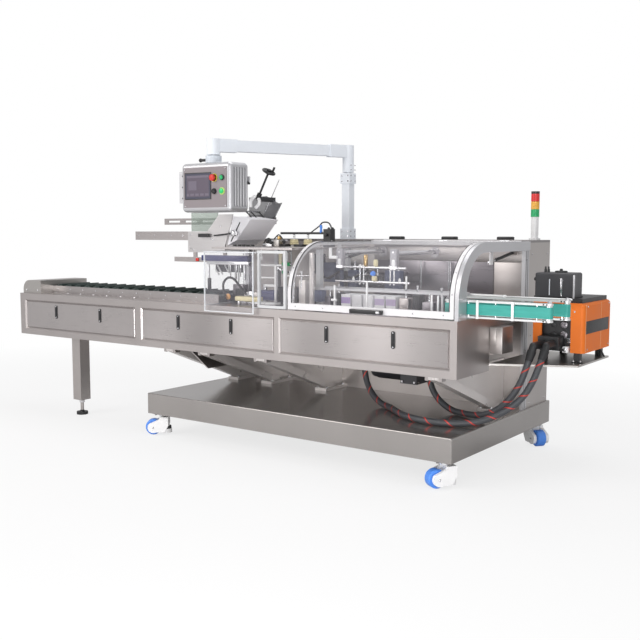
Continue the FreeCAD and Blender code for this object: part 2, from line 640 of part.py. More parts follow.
def outline(name, plane, points, start, depth):
    """A body padded from a closed sketch.

    Each point is a pair of formulas, or three with the radius of the arc that reaches it
    from the point before: a positive radius turns left, a negative one turns right.
    """
    body = doc.addObject("PartDesign::Body", name)
    sketch = body.newObject("Sketcher::SketchObject", name + "_sketch")
    role = PLANES[plane]
    sketch.AttachmentSupport = [(next(f for f in body.Origin.OriginFeatures if f.Role == role), "")]
    sketch.MapMode = "FlatFace"
    places = [Vector(worth(point[0]), worth(point[1]), 0) for point in points]
    count = len(points)
    for index in range(count):
        first = places[index]
        last = places[(index + 1) % count]
        reaching = points[(index + 1) % count]
        if len(reaching) == 3:
            sketch.addGeometry(arc_between(first, last, worth(reaching[2])), False)
        else:
            sketch.addGeometry(Part.LineSegment(first, last), False)
    begins = []
    for index in range(count):
        curve = sketch.Geometry[index]
        begins.append(1 if curve.StartPoint.distanceToPoint(places[index]) < 1e-6 else 2)
    for index in range(count):
        following = (index + 1) % count
        sketch.addConstraint(Sketcher.Constraint(
            "Coincident", index, 3 - begins[index], following, begins[following]))
        for kind, formula, axis in zip(("DistanceX", "DistanceY"), points[index], (-2, -1)):
            number = worth(formula)
            if abs(number) < 1e-9:
                sketch.addConstraint(Sketcher.Constraint("PointOnObject", index, begins[index], axis))
            else:
                row = sketch.addConstraint(Sketcher.Constraint(
                    kind, -1, 1, index, begins[index], number))
                sketch.setExpression(f"Constraints[{row}]", refer(formula))
        reaching = points[following]
        if len(reaching) == 3 and half_round(places[index], places[following], worth(reaching[2])):
            sketch.addConstraint(Sketcher.Constraint("Symmetric", index, 1, index, 2, index, 3))
        elif len(reaching) == 3:
            row = sketch.addConstraint(Sketcher.Constraint("Radius", index, abs(worth(reaching[2]))))
            size = refer(f"abs({reaching[2]})").replace("dims.abs", "abs")
            sketch.setExpression(f"Constraints[{row}]", size)
    away = f"-(({start}) + ({depth}))" if plane == "xz" else start
    sketch.setExpression("AttachmentOffset.Base.z", refer(away))
    pad = body.newObject("PartDesign::Pad", name + "_pad")
    pad.Profile = sketch
    pad.setExpression("Length", refer(depth))
    return body


def publish(label, item):
    """Name a finished sub-part and move it to the machine's own origin."""
    holder = group(label + "_node", [item])
    holder.Label = label
    bind(holder, Placement__Base__x="-datum_x", Placement__Base__y="-datum_y")
    published.append(holder)
    return holder


def bevel(name, base, size, chosen):
    """Bevel the edges of a solid whose middle point is chosen by a test."""
    doc.recompute()
    item = doc.addObject("Part::Chamfer", name)
    item.Base = base
    picked = []
    for index, edge in enumerate(base.Shape.Edges, start=1):
        middle = edge.valueAt((edge.FirstParameter + edge.LastParameter) / 2)
        if chosen(edge, middle):
            picked.append((index, worth(size), worth(size)))
    item.Edges = picked
    return item


def turn(item, angle):
    """Turn an object about the upright axis through its own origin."""
    item.Placement = FreeCAD.Placement(Vector(), FreeCAD.Rotation(Vector(0, 0, 1), worth(angle)))
    return item


def slug(name, middle, low, high, radius, start, depth):
    """An upright slot shape with round ends, facing the front."""
    left = f"{middle} - {radius}"
    right = f"{middle} + {radius}"
    return outline(name, "xz", [
        (left, f"{low} + {radius}"), (right, f"{low} + {radius}", radius),
        (right, f"{high} - {radius}"), (left, f"{high} - {radius}", radius)], start, depth)


def stadium(name, left, right, front, radius, low, high):
    """A long block with half-round ends, seen from above."""
    near = front
    far = f"{front} + 2 * ({radius})"
    return outline(name, "xy", [
        (f"{left} + ({radius})", near, radius), (f"{right} - ({radius})", near),
        (f"{right} - ({radius})", far, radius), (f"{left} + ({radius})", far)], low, f"({high}) - ({low})")


def at_front(edge, middle):
    """True for an edge in the plane of the beam's front face, away from its borders."""
    near = worth("cut_margin")
    level = worth("panel_bottom") - near < middle.z < worth("panel_top") + near
    along = near < middle.x < worth("beam_right") - near and abs(middle.x - worth("beam_joint")) > near
    return abs(middle.y) < 1e-3 and level and along


CORNERS = (
    ("front_left", "plinth_left + caster_inset", "plinth_front + caster_inset"),
    ("front_right", "plinth_right - caster_inset", "plinth_front + caster_inset"),
    ("rear_left", "plinth_left + caster_inset", "plinth_back - caster_inset"),
    ("rear_right", "plinth_right - caster_inset", "plinth_back - caster_inset"),
)


def caster_plate(word, x, y):
    """The mounting plate of a caster with its four nuts."""
    flat = box("caster_plate_" + word,
               (f"{x} - caster_plate / 2", f"{y} - caster_plate / 2", "plinth_bottom - caster_plate_thick"),
               (f"{x} + caster_plate / 2", f"{y} + caster_plate / 2", "plinth_bottom"))
    nuts = []
    for index, (side, end) in enumerate((("-", "-"), ("-", "+"), ("+", "-"), ("+", "+"))):
        nuts.append(rod(f"caster_nut_{word}_{index + 1}", "z",
                        (f"{x} {side} (caster_plate / 2 - nut_inset)",
                         f"{y} {end} (caster_plate / 2 - nut_inset)",
                         "plinth_bottom - caster_plate_thick - nut_high"), "nut_radius", "nut_high"))
    return fuse("caster_mount_" + word, [flat] + nuts)


def build_base():
    """Plinth, rear cabinet, roof, doors and corner strip."""
    block = box("plinth_block", ("plinth_left", "plinth_front", "plinth_bottom"),
                ("plinth_right", "plinth_back", "plinth_top"))
    tray = fillet("plinth_round", block, "plinth_edge",
                  lambda edge, middle: middle.z > worth("plinth_bottom + cut_margin"))
    publish("plinth", fuse("plinth_whole", [tray] + [caster_plate(*corner) for corner in CORNERS]))
    publish("rear_cabinet", box("cabinet_block", ("cabinet_left", "cabinet_front", "plinth_top"),
                                ("cabinet_right", "cabinet_back", "cabinet_top")))
    roof = "cabinet_top + roof_thick"
    fittings = [box("roof_sheet", ("cabinet_left", "cabinet_front", "cabinet_top"),
                    ("cabinet_right", "cabinet_back", roof))]
    for word in ("one", "two", "three"):
        left = "fitting_" + word
        fittings.append(box(f"roof_{left}", (left, "fitting_front", roof),
                            (f"{left} + fitting_long", "fitting_back", f"{roof} + fitting_high")))
    publish("cabinet_roof", fuse("roof_whole", fittings))
    doors = []
    pitch = "(cabinet_right - cabinet_left - door_gap) / door_count"
    for index in range(int(worth("door_count"))):
        left = f"cabinet_left + door_gap + {index} * {pitch}"
        doors.append(box(f"rear_door_{index + 1}",
                         (left, "cabinet_back", "plinth_top + door_gap"),
                         (f"{left} + {pitch} - door_gap", "cabinet_back + door_thick",
                          "cabinet_top - door_gap")))
    publish("rear_doors", group("rear_door_row", doors))
    publish("corner_strip", box("strip_bar", ("strip_left", "strip_front", "plinth_top"),
                                ("cabinet_right", "cabinet_front", "strip_top")))


def build_beam():
    """Front beam in two lengths, its lift-off panels and their latches."""
    recesses = {}
    for word in ("one", "two", "three"):
        recesses[word] = box("recess_" + word, (f"recess_{word}_left", "0", "panel_bottom"),
                             (f"recess_{word}_right", "recess_depth", "panel_top"))
    infeed = box("infeed_block", ("0", "0", "beam_bottom"), ("beam_joint", "beam_depth", "beam_top"))
    publish("infeed_beam", bevel("infeed_bevel", cut("infeed_recessed", infeed, recesses["one"]),
                                 "recess_bevel", at_front))
    front = box("front_block", ("beam_joint", "0", "beam_bottom"), ("beam_right", "beam_depth", "beam_top"))
    both = fuse("recess_pair", [recesses["two"], recesses["three"]])
    publish("front_beam", bevel("front_bevel", cut("front_recessed", front, both), "recess_bevel", at_front))
    panels = []
    latches = []
    face = "recess_depth - panel_thick"
    for word in recesses:
        left = f"recess_{word}_left"
        right = f"recess_{word}_right"
        sheet_block = box("panel_" + word, (f"{left} + panel_gap", face, "panel_bottom + panel_gap"),
                          (f"{right} - panel_gap", "recess_depth", "panel_top - panel_gap"))
        panels.append(bevel("panel_edge_" + word, sheet_block, "panel_bevel",
                            lambda edge, middle: abs(middle.y - worth(face)) < 1e-3))
        for side, middle in (("left", f"{left} + latch_{word}"), ("right", f"{right} - latch_{word}")):
            latches.append(slug(f"latch_{word}_{side}", middle, "latch_bottom", "latch_top",
                                "latch_wide / 2", f"{face} - latch_proud", "latch_proud"))
    publish("access_panels", group("panel_row", panels))
    publish("panel_latches", group("latch_row", latches))


def build_supports():
    """Bed, drive, ribs, chute and the infeed leg."""
    bed = outline("bed_pad", "xy", [
        ("beam_joint", "beam_depth"), ("beam_right", "beam_depth"), ("beam_right", "strip_front"),
        ("strip_left", "strip_front"), ("strip_left", "cabinet_front"), ("beam_joint", "cabinet_front")],
        "bed_bottom", "beam_top - bed_bottom")
    housing = box("housing_block", ("housing_left", "beam_depth", "housing_bottom"),
                  ("housing_right", "cabinet_front", "bed_bottom"))
    glands = [rod(f"bed_gland_{word}", "z",
                  (f"hose_{word}_x", f"hose_{word}_y", "housing_bottom - hose_bed_gland"),
                  "gland_radius", "hose_bed_gland") for word in ("front", "rear")]
    publish("machine_bed", fuse("bed_whole", [bed, housing] + glands))
    slope = "((beam_bottom - rib_nose - plinth_top) / (rib_heel - rib_toe))"
    crown = f"rib_toe + (rib_high - rib_nose) / {slope}"
    tail = f"rib_heel + rib_high / {slope}"
    bars = []
    brackets = []
    for word in ("one", "two", "three", "four"):
        middle = "rib_" + word
        channel = outline(f"rib_bar_{word}", "yz", [
            ("rib_toe", "beam_bottom - rib_nose"), ("rib_heel", "plinth_top"), (tail, "plinth_top"),
            (crown, "beam_bottom"), ("rib_toe", "beam_bottom")], f"{middle} - rib_wide / 2", "rib_wide")
        foot = box(f"rib_foot_{word}", (f"{middle} - rib_foot_wide / 2", "rib_foot_front", "plinth_top"),
                   (f"{middle} + rib_foot_wide / 2", "cabinet_front", "plinth_top + rib_foot_high"))
        web = outline(f"rib_web_{word}", "yz", [
            (tail, "plinth_top"), ("cabinet_front", "plinth_top"), ("cabinet_front", "beam_bottom"),
            (crown, "beam_bottom")], f"{middle} - rib_web / 2", "rib_web")
        bars.append(fuse(f"rib_whole_{word}", [channel, foot, web]))
        for side, left in (("left", f"{middle} - rib_wide / 2 - bracket_wide"),
                           ("right", f"{middle} + rib_wide / 2")):
            brackets.append(box(f"bracket_{side}_{word}", (left, "rib_toe", "beam_bottom - bracket_high"),
                                (f"{left} + bracket_wide", "rib_toe + bracket_deep", "beam_bottom")))
    publish("support_ribs", group("rib_row", bars))
    chute = outline("chute_plate", "xz", [
        ("chute_left", "beam_bottom"), ("chute_left - 2 * chute_thick", "beam_bottom"),
        ("chute_right - 2 * chute_thick", "chute_low"), ("chute_right", "chute_low")],
        "chute_front", "chute_back - chute_front")
    publish("support_brackets", group("bracket_row", brackets + [chute]))
    motor = rod("motor_drum", "x", ("motor_left", "motor_y", "motor_z"), "motor_radius",
                "motor_right - motor_left")
    gearbox = box("motor_gearbox", ("motor_right", "motor_y - gearbox_half", "motor_z - gearbox_half"),
                  ("gearbox_right", "motor_y + gearbox_half", "housing_bottom"))
    publish("drive_motor", fuse("drive_motor_whole", [motor, gearbox]))
    tube = box("leg_tube", ("leg_left", "leg_front", "leg_bottom"),
               ("leg_left + leg_size", "leg_front + leg_size", "beam_bottom"))
    centre = ("leg_left + leg_size / 2", "leg_front + leg_size / 2")
    screw = rod("leg_screw", "z", (*centre, "leg_pad_high"), "leg_screw_radius",
                "leg_bottom - leg_pad_high")
    pad = rod("leg_pad", "z", (*centre, "0"), "leg_pad_radius", "leg_pad_high")
    publish("infeed_leg", fuse("leg_whole", [tube, screw, pad]))


def build_hood():
    """The hinged hood over the closing section."""
    ends = [hood_shell("hood_end_left", "hood_front", "hood_band", "hood_left", "hood_side"),
            hood_shell("hood_end_right", "hood_front", "hood_band", "hood_right - hood_side", "hood_side")]
    rail = box("hood_front_rail", ("hood_left", "hood_front", "hood_bottom"),
               ("hood_right", "hood_side", "hood_bottom + hood_rail"))
    back = box("hood_back_rail", ("hood_left", "hood_back - hood_band", "hood_top - hood_band"),
               ("hood_right", "hood_back", "hood_top - hood_front"))
    barrel = rod("hinge_barrel", "x", ("hood_left + hood_band", "hinge_y", "hinge_z"), "hinge_radius",
                 "hood_right - hood_left - 2 * hood_band")
    wing = box("hinge_wing", ("hood_left + hood_band", "hood_back", "hinge_z - hinge_wing_half"),
               ("hood_right - hood_band", "hinge_y", "hinge_z + hinge_wing_half"))
    horns = [box("horn_left", ("hood_left + hood_side", "horn_front", "horn_low"),
                 ("hood_left + hood_side + spring_plate", "horn_back", "hood_top - hood_band / 2")),
             box("horn_right", ("hood_right - hood_side - spring_plate", "horn_front", "horn_low"),
                 ("hood_right - hood_side", "horn_back", "hood_top - hood_band / 2"))]
    whole = fuse("hood_frame_whole", ends + [rail, back, barrel, wing] + horns)
    publish("hood_frame", whole)
    glazing = outline("hood_sheet_pad", "yz", [
        ("sheet_front", "hood_bottom + hood_rail"), ("sheet_front + hood_sheet", "hood_bottom + hood_rail"),
        ("sheet_front + hood_sheet", "hood_top - hood_radius"),
        ("hood_radius", "hood_top - sheet_front - hood_sheet", "-(hood_radius - sheet_front - hood_sheet)"),
        ("hood_back - hood_band", "hood_top - sheet_front - hood_sheet"),
        ("hood_back - hood_band", "hood_top - sheet_front"), ("hood_radius", "hood_top - sheet_front"),
        ("sheet_front", "hood_top - hood_radius", "hood_radius - sheet_front")],
        "hood_left + hood_side + spring_plate", "hood_right - hood_left - 2 * (hood_side + spring_plate)")
    publish("hood_glazing", glazing)
    grip = box("handle_bar", ("handle_left", "handle_front", "handle_low"),
               ("handle_right", "handle_gap", "handle_high"))
    feet = [box(f"handle_foot_{word}", (left, "handle_gap", "handle_low"),
                (f"{left} + handle_foot", "hood_front", "handle_high"))
            for word, left in (("left", "handle_left"), ("right", "handle_right - handle_foot"))]
    publish("hood_handle", fuse("handle_whole", [grip] + feet))


def build_springs():
    """Gas springs: cylinders turn on fixed pins, and rods slide out with the hood's plates."""
    rear = Vector(0, worth("spring_rear_y"), worth("spring_rear_z"))
    front = Vector(0, worth("spring_front_y"), worth("spring_front_z"))
    along = (front - rear).normalize()
    radius = worth("spring_radius")
    body = worth("spring_body")
    start = worth("spring_start")
    eye = worth("spring_eye_radius")
    half = worth("spring_eye_half")
    pin = worth("spring_pin_radius")
    play = worth("axle_play")
    sideways = Vector(1, 0, 0)
    cylinders = []
    rods = []
    plates = []
    for word, inward in (("left", 1), ("right", -1)):
        across = Vector(worth(f"spring_{word}_x"), 0, 0)
        ring = Part.makeCylinder(eye, 2 * half, rear + across - sideways * half, sideways)
        neck = Part.makeCylinder(pin, start, rear + across, along)
        tube = Part.makeCylinder(radius, body, rear + across + along * start, along)
        bore = Part.makeCylinder(pin + play, 4 * half, rear + across - sideways * 2 * half, sideways)
        cylinders.append(ring.fuse([neck, tube]).cut(bore))
        reach = (front - rear).Length - start - body
        bar = Part.makeCylinder(worth("spring_rod_radius"), reach,
                                rear + across + along * (start + body), along)
        tip = Part.makeCylinder(eye, 2 * half, front + across - sideways * half, sideways)
        rods.append(bar.fuse(tip))
        low = f"spring_{word}_x + spring_eye_half + spring_plate_gap"
        high = f"{low} + spring_plate"
        if inward < 0:
            high = f"spring_{word}_x - spring_eye_half - spring_plate_gap"
            low = f"{high} - spring_plate"
        plate = box(f"spring_plate_{word}", (low, "spring_plate_front", "spring_plate_low"),
                    (high, "cabinet_front", "spring_plate_high"))
        pin_start = f"spring_{word}_x - spring_eye_half" if inward > 0 else low
        stud = rod(f"spring_pin_{word}", "x", (pin_start, "spring_rear_y", "spring_rear_z"),
                   "spring_pin_radius", "2 * spring_eye_half + spring_plate_gap + spring_plate")
        plates.append(fuse(f"spring_mount_{word}", [plate, stud]))
    for label, shapes in (("spring_cylinders", cylinders), ("spring_rods", rods)):
        item = doc.addObject("Part::Feature", label + "_shape")
        item.Shape = Part.makeCompound(shapes)
        publish(label, item)
    publish("spring_mounts", group("spring_mount_pair", plates))


def build_arch():
    """The fixed end arch with its opening for the discharge."""
    plate = outline("arch_plate", "yz", [
        ("0", "beam_top"), ("arch_back", "beam_top"), ("arch_back", "strip_top"),
        ("cabinet_front", "strip_top"), ("cabinet_front", "hood_top"),
        ("hood_radius", "hood_top"), ("0", "hood_top - hood_radius", "hood_radius")],
        "arch_left", "arch_right - arch_left")
    opening = outline("arch_opening", "yz", [
        ("arch_leg", "beam_top - cut_margin"), ("arch_heel", "beam_top - cut_margin"),
        ("arch_heel", "hood_top - arch_head"),
        ("hood_radius", "hood_top - arch_head"),
        ("arch_leg", "hood_top - arch_head - hood_radius + arch_leg", "hood_radius - arch_leg")],
        "arch_left", "arch_right - arch_left")
    publish("end_arch", cut("arch_whole", plate, opening))


def build_guards():
    """Guard box, framed side guard, the upper deck and the posts that carry it."""
    front = box("guard_front_sheet", ("guard_left", "guard_front", "guard_bottom"),
                ("guard_right", "guard_front + guard_sheet", "guard_top"))
    near = "guard_front + guard_sheet"
    low = "beam_top + guard_lift"
    left = box("guard_left_sheet", ("guard_left", near, low),
               ("guard_left + guard_sheet", "beam_depth - deck_post", "guard_top"))
    right = box("guard_right_sheet", ("guard_right - guard_sheet", near, low),
                ("guard_right", "beam_depth - deck_post", "guard_top"))
    border = box("side_border", ("side_left", "side_front", "side_low"),
                 ("side_right", "side_front + side_bar", "side_top"))
    window = box("side_window", ("side_left + side_bar", "side_front", "side_low + side_bar"),
                 ("side_right - side_bar", "side_front + side_bar", "side_top - side_bar"))
    pane = box("side_pane", ("side_left + side_bar", "side_front + guard_sheet / 2", "side_low + side_bar"),
               ("side_right - side_bar", "side_front + 3 * guard_sheet / 2", "side_top - side_bar"))
    publish("guard_box", group("guard_set", [fuse("guard_whole", [front, left, right]), pane]))
    publish("upper_deck", box("deck_plate", ("deck_left", "deck_front", "deck_bottom"),
                              ("deck_right", "cabinet_front", "deck_bottom + deck_thick")))
    posts = []
    for name, left in (("infeed", "guard_left + 2 * guard_sheet"),
                       ("discharge", "deck_right - deck_post - deck_post_inset")):
        for depth, front in (("near", "beam_depth - deck_post"), ("far", "post_far_y")):
            posts.append(box(f"deck_post_{name}_{depth}", (left, front, "beam_top"),
                             (f"{left} + deck_post", f"{front} + deck_post", "deck_bottom")))
    publish("guard_frames", group("post_row", posts + [cut("side_frame", border, window)]))


def magazine_sheet(name, face, thick):
    """The stepped side plate of the carton magazine."""
    return outline(name, "xz", [
        ("magazine_low_left", "magazine_low"), ("magazine_toe", "magazine_low"),
        ("magazine_toe", "deck_bottom + deck_thick"), ("magazine_crest_right", "magazine_crest"),
        ("magazine_crest_left", "magazine_crest"), ("magazine_rise", "magazine_step"),
        ("magazine_low_left", "magazine_step")], face, thick)


def build_magazine():
    """Carton magazine: plates, rails, stack, cover and handwheel."""
    plates = [magazine_sheet("magazine_near", "near_face", "plate_thick"),
              magazine_sheet("magazine_far", "far_face", "plate_thick")]
    long_rail = box("magazine_long_rail", ("rail_left", "near_face", "rail_low"),
                    ("magazine_low_left", "near_face + plate_thick", "magazine_step"))
    far_rail = box("magazine_far_rail", ("rail_left", "far_face", "rail_low"),
                   ("magazine_low_left", "far_face + plate_thick", "magazine_step"))
    base = []
    for word, face in (("near", "near_face"), ("far", "far_face")):
        base.append(box(f"magazine_base_{word}", ("base_left", face, "base_low"),
                        ("guard_left + 2 * guard_sheet", f"{face} + base_thick", "base_high")))
        base.append(box(f"magazine_stay_{word}", ("cross_left_x", face, "base_high"),
                        ("cross_left_x + deck_post", f"{face} + plate_thick", "magazine_low")))
    crosses = []
    for word, middle in (("left", "cross_left_x"), ("right", "cross_right_x")):
        crosses.append(rod(f"magazine_cross_{word}", "y", (middle, "near_face + plate_thick", "cross_low_z"),
                           "cross_radius", "far_face - near_face - plate_thick"))
    bar = box("slot_bar", ("slot_bar_left", "far_face + plate_thick", "slot_bar_low"),
              ("slot_bar_right", "far_face + 2 * plate_thick", "slot_bar_high"))
    slots = []
    for index in range(int(worth("slot_count"))):
        left = f"slot_bar_left + slot_first + {index} * slot_pitch"
        slots.append(box(f"bar_slot_{index + 1}", (left, "far_face + plate_thick", "slot_low"),
                         (f"{left} + slot_long", "far_face + 2 * plate_thick", "slot_high")))
    slotted = cut("slot_bar_cut", bar, fuse("bar_slots", slots))
    clear = box("clear_plate", ("acrylic_left", "far_face", "acrylic_low + acrylic_gap"),
                ("acrylic_right", "far_face + plate_thick", "acrylic_high"))
    stack = outline("stack_pad", "xz", [
        ("stack_tail_x", "stack_tail_z"), ("stack_low_x", "stack_low_z"), ("stack_peak_x", "stack_peak_z"),
        ("stack_top_x", "stack_top_z")], "near_face + plate_thick + side_gap",
        "far_face - near_face - plate_thick - 2 * side_gap")
    publish("carton_stack", stack)
    cover = outline("smoked_sheet", "xz", [
        ("smoked_back_x", "slot_bar_high"), ("smoked_low_x", "smoked_low_z"), ("smoked_x", "smoked_z"),
        ("smoked_back_x + smoked_slant", "smoked_z - smoked_slant")], "far_face", "plate_thick")
    publish("magazine_windows", group("window_pair", [clear, cover]))
    low = "handle_slot_z - grip_half_high"
    high = "handle_slot_z + grip_half_high"
    handle = box("magazine_handle_bar", ("handle_slot_x - grip_half", "near_face - grip_reach", low),
                 ("handle_slot_x + grip_half", "near_face - grip_gap", high))
    feet = [box(f"magazine_handle_foot_{word}", (left, "near_face - grip_gap", low),
                (f"{left} + grip_foot", "near_face", high))
            for word, left in (("left", "handle_slot_x - grip_half"),
                               ("right", "handle_slot_x + grip_half - grip_foot"))]
    publish("magazine_plates", group("magazine_pair", [
        fuse("magazine_near_whole", [plates[0], handle] + feet), plates[1]]))
    publish("magazine_rails", group("magazine_rail_set", [long_rail, far_rail] + base + crosses + [
        fuse("slot_bar_whole", [slotted, build_handwheel()])]))
    build_suction()


def build_handwheel():
    """Handwheel with its spindle and the nut block that holds the spindle."""
    middle = worth("(near_face + far_face + plate_thick) / 2")
    low = Vector(worth("spindle_low_x"), middle, worth("spindle_low_z"))
    hub = Vector(worth("wheel_hub_x"), middle, worth("wheel_hub_z"))
    along = (hub - low).normalize()
    bead = worth("wheel_bead")
    radius = worth("handwheel_radius") - bead
    thin = worth("spindle_radius")
    tail = worth("spindle_tail")
    rim = Part.makeTorus(radius, bead, hub, along)
    disc = Part.makeCylinder(radius, bead, hub - along * bead / 2, along)
    knob = Part.makeCylinder(2 * bead, 4 * bead, hub - along * 2 * bead, along)
    spindle = Part.makeCylinder(thin, (hub - low).Length + tail, low - along * tail, along)
    grip = Part.makeCylinder(thin, worth("wheel_grip_long"), hub + Vector(0, radius, 0), along)
    item = doc.addObject("Part::Feature", "handwheel_shape")
    item.Shape = rim.fuse([disc, knob, spindle, grip])
    publish("handwheel", item)
    long = worth("nut_sleeve_long")
    wide = worth("nut_stay_wide")
    high = worth("nut_stay_high")
    under = low.z - worth("nut_stay_drop")
    sleeve = Part.makeCylinder(worth("nut_sleeve_radius"), long, low - along * long / 2, along)
    stay = Part.makeBox(wide, worth("far_face + 2 * plate_thick") - middle, high,
                        Vector(low.x - wide / 2, middle, under))
    column = Part.makeBox(wide, worth("plate_thick"), under + high - worth("slot_bar_high"),
                          Vector(low.x - wide / 2, worth("far_face + plate_thick"), worth("slot_bar_high")))
    deep = worth("spindle_bore_long")
    bore = Part.makeCylinder(thin + worth("spindle_play"), deep, low - along * deep / 2, along)
    block = doc.addObject("Part::Feature", "spindle_block_shape")
    block.Shape = sleeve.fuse([stay]).cut(bore).fuse(column).removeSplitter()
    return block


def build_suction():
    """Suction bar with two cups that draw the blanks from the magazine."""
    half = "cup_bar_size / 2"
    bar = box("cup_rail", ("cup_bar_left", f"cup_bar_y - {half}", f"cup_bar_z - {half}"),
              ("cup_bar_right", f"cup_bar_y + {half}", f"cup_bar_z + {half}"))
    clamp = box("suction_clamp",
                ("clamp_x - clamp_half", "cup_bar_y - clamp_half", "deck_bottom + deck_thick"),
                ("clamp_x + clamp_half", "cup_bar_y + clamp_half", "cup_bar_z + clamp_half"))
    cups = [bar, clamp]
    for word in ("one", "two"):
        centre = f"cup_{word}"
        bell = rod(f"cup_bell_{word}", "z", (centre, "cup_bar_y", "cup_low"), "cup_radius", "cup_radius")
        stem = rod(f"cup_stem_{word}", "z", (centre, "cup_bar_y", "cup_low + cup_radius"), "cup_bar_size / 2",
                   f"cup_bar_z - {half} - cup_low - cup_radius")
        cups += [bell, stem]
    publish("suction_bar", fuse("suction_bar_whole", cups))


def build_inside():
    """What the hood covers: carton rails, cartons, hold-down bars and their shafts."""
    rails = []
    for word, front in (("near", "product_y - product_half"),
                        ("far", "product_y + product_gap - product_half")):
        rail = box(f"product_rail_{word}", ("product_left", front, "product_z - product_high"),
                   ("product_right", f"{front} + 2 * product_half", "product_z"))
        legs = []
        for spot in ("one", "two"):
            left = f"product_post_{spot}"
            legs.append(box(f"product_leg_{word}_{spot}", (left, f"{front} + product_high / 2", "beam_top"),
                            (f"{left} + product_post", f"{front} + product_high / 2 + product_post",
                             "product_z - product_high")))
        rails.append(fuse(f"product_rail_whole_{word}", [rail] + legs))
    publish("carton_rails", group("product_rail_pair", rails))
    row = []
    for index in range(int(worth("row_count"))):
        left = f"row_left + {index} * row_pitch"
        row.append(box(f"carton_{index + 1}", (left, "row_front", "beam_top"),
                       (f"{left} + row_long", "row_back", "row_top")))
    publish("carton_row", group("carton_row_set", row))
    lower = rod("press_lower", "x", ("press_left", "press_y", "press_low_z"), "press_radius",
                "press_right - press_left")
    upper = rod("press_upper", "x", ("press_top_left", "press_y", "press_top_z"), "press_radius",
                "press_top_right - press_top_left")
    uprights = []
    for spot in ("one", "two"):
        for step in ("0", "1"):
            uprights.append(rod(f"press_rod_{spot}_{step}", "z",
                                (f"press_rod_{spot} + {step} * press_rod_pitch", "press_y", "press_low_z"),
                                "press_rod_radius", "press_top_z - press_low_z"))
    pieces = [lower, upper] + uprights
    for spot in ("one", "two"):
        middle = f"shaft_{spot}"
        shaft = rod(f"shaft_bar_{spot}", "y", (middle, "press_y + clamp_deep / 2", "shaft_z"), "shaft_radius",
                    "cabinet_front - press_y - clamp_deep / 2")
        flange = rod(f"shaft_flange_{spot}", "y", (middle, "cabinet_front - flange_thick", "shaft_z"),
                     "flange_radius", "flange_thick")
        clamp = box(f"shaft_clamp_{spot}",
                    (f"{middle} - clamp_wide / 2", "press_y - clamp_deep / 2", "clamp_low"),
                    (f"{middle} + clamp_wide / 2", "press_y + clamp_deep / 2", "clamp_top"))
        pieces += [shaft, flange, clamp]
    publish("hold_down_bars", fuse("press_whole", pieces))


def build_discharge():
    """Two upright belts with their rollers, bars, posts and a chrome guide rod."""
    belts = []
    frames = []
    for word, front, right, drop in (("front", "belt_front", "discharge_right", "0"),
                                     ("rear", "belt_rear", "discharge_end", "rear_drop")):
        low = f"belt_low - {drop}"
        high = f"belt_high + {drop}"
        skin = stadium(f"belt_skin_{word}", "discharge_start", right, front, "pulley_radius", low, high)
        hollow = stadium(f"belt_hollow_{word}", "discharge_start + belt_thick", f"{right} - belt_thick",
                         f"{front} + belt_thick", "pulley_radius - belt_thick", low, high)
        belts.append(cut(f"belt_{word}", skin, hollow))
        middle = f"{front} + pulley_radius"
        under = f"{low} - belt_bar_gap - belt_bar_high"
        over = f"{high} + belt_bar_gap"
        pieces = [stadium(f"bar_low_{word}", "discharge_start", right, front, "pulley_radius", under,
                          f"{low} - belt_bar_gap"),
                  stadium(f"bar_high_{word}", "discharge_start", right, front, "pulley_radius", over,
                          f"{over} + belt_bar_high")]
        for side, centre in (("left", "discharge_start + pulley_radius"),
                             ("right", f"{right} - pulley_radius")):
            pieces.append(rod(f"roller_{word}_{side}", "z", (centre, middle, f"{low} - belt_bar_gap"),
                              "roller_radius", f"{high} - ({low}) + 2 * belt_bar_gap"))
        for spot in ("one", "two"):
            left = f"belt_post_{spot}"
            pieces.append(box(f"belt_stay_{word}_{spot}",
                              (left, f"{middle} - belt_post_size / 2", under),
                              (f"{left} + belt_post_size", f"{middle} + belt_post_size / 2", over)))
        pieces.append(box(f"belt_foot_{word}", ("discharge_start + pulley_radius", f"{front} + belt_thick",
                                                "beam_top"),
                          ("belt_foot_right", f"{front} + 2 * pulley_radius - belt_thick", under)))
        frames.append(fuse(f"belt_frame_{word}", pieces))
    publish("discharge_belts", group("belt_pair", belts))
    wire = rod("guide_wire", "x", ("discharge_start", "guide_y", "guide_z"), "guide_radius",
               "guide_right - discharge_start")
    sleeve = rod("guide_sleeve", "x", ("discharge_start", "guide_y", "guide_z"), "sleeve_radius",
                 "sleeve_right - discharge_start")
    stay = box("guide_stay", ("discharge_start", "guide_y - guide_radius", "beam_top"),
               ("discharge_start + belt_post_size", "guide_y + guide_radius", "guide_z"))
    publish("discharge_bars", group("frame_pair", frames + [fuse("guide_whole", [wire, sleeve, stay])]))


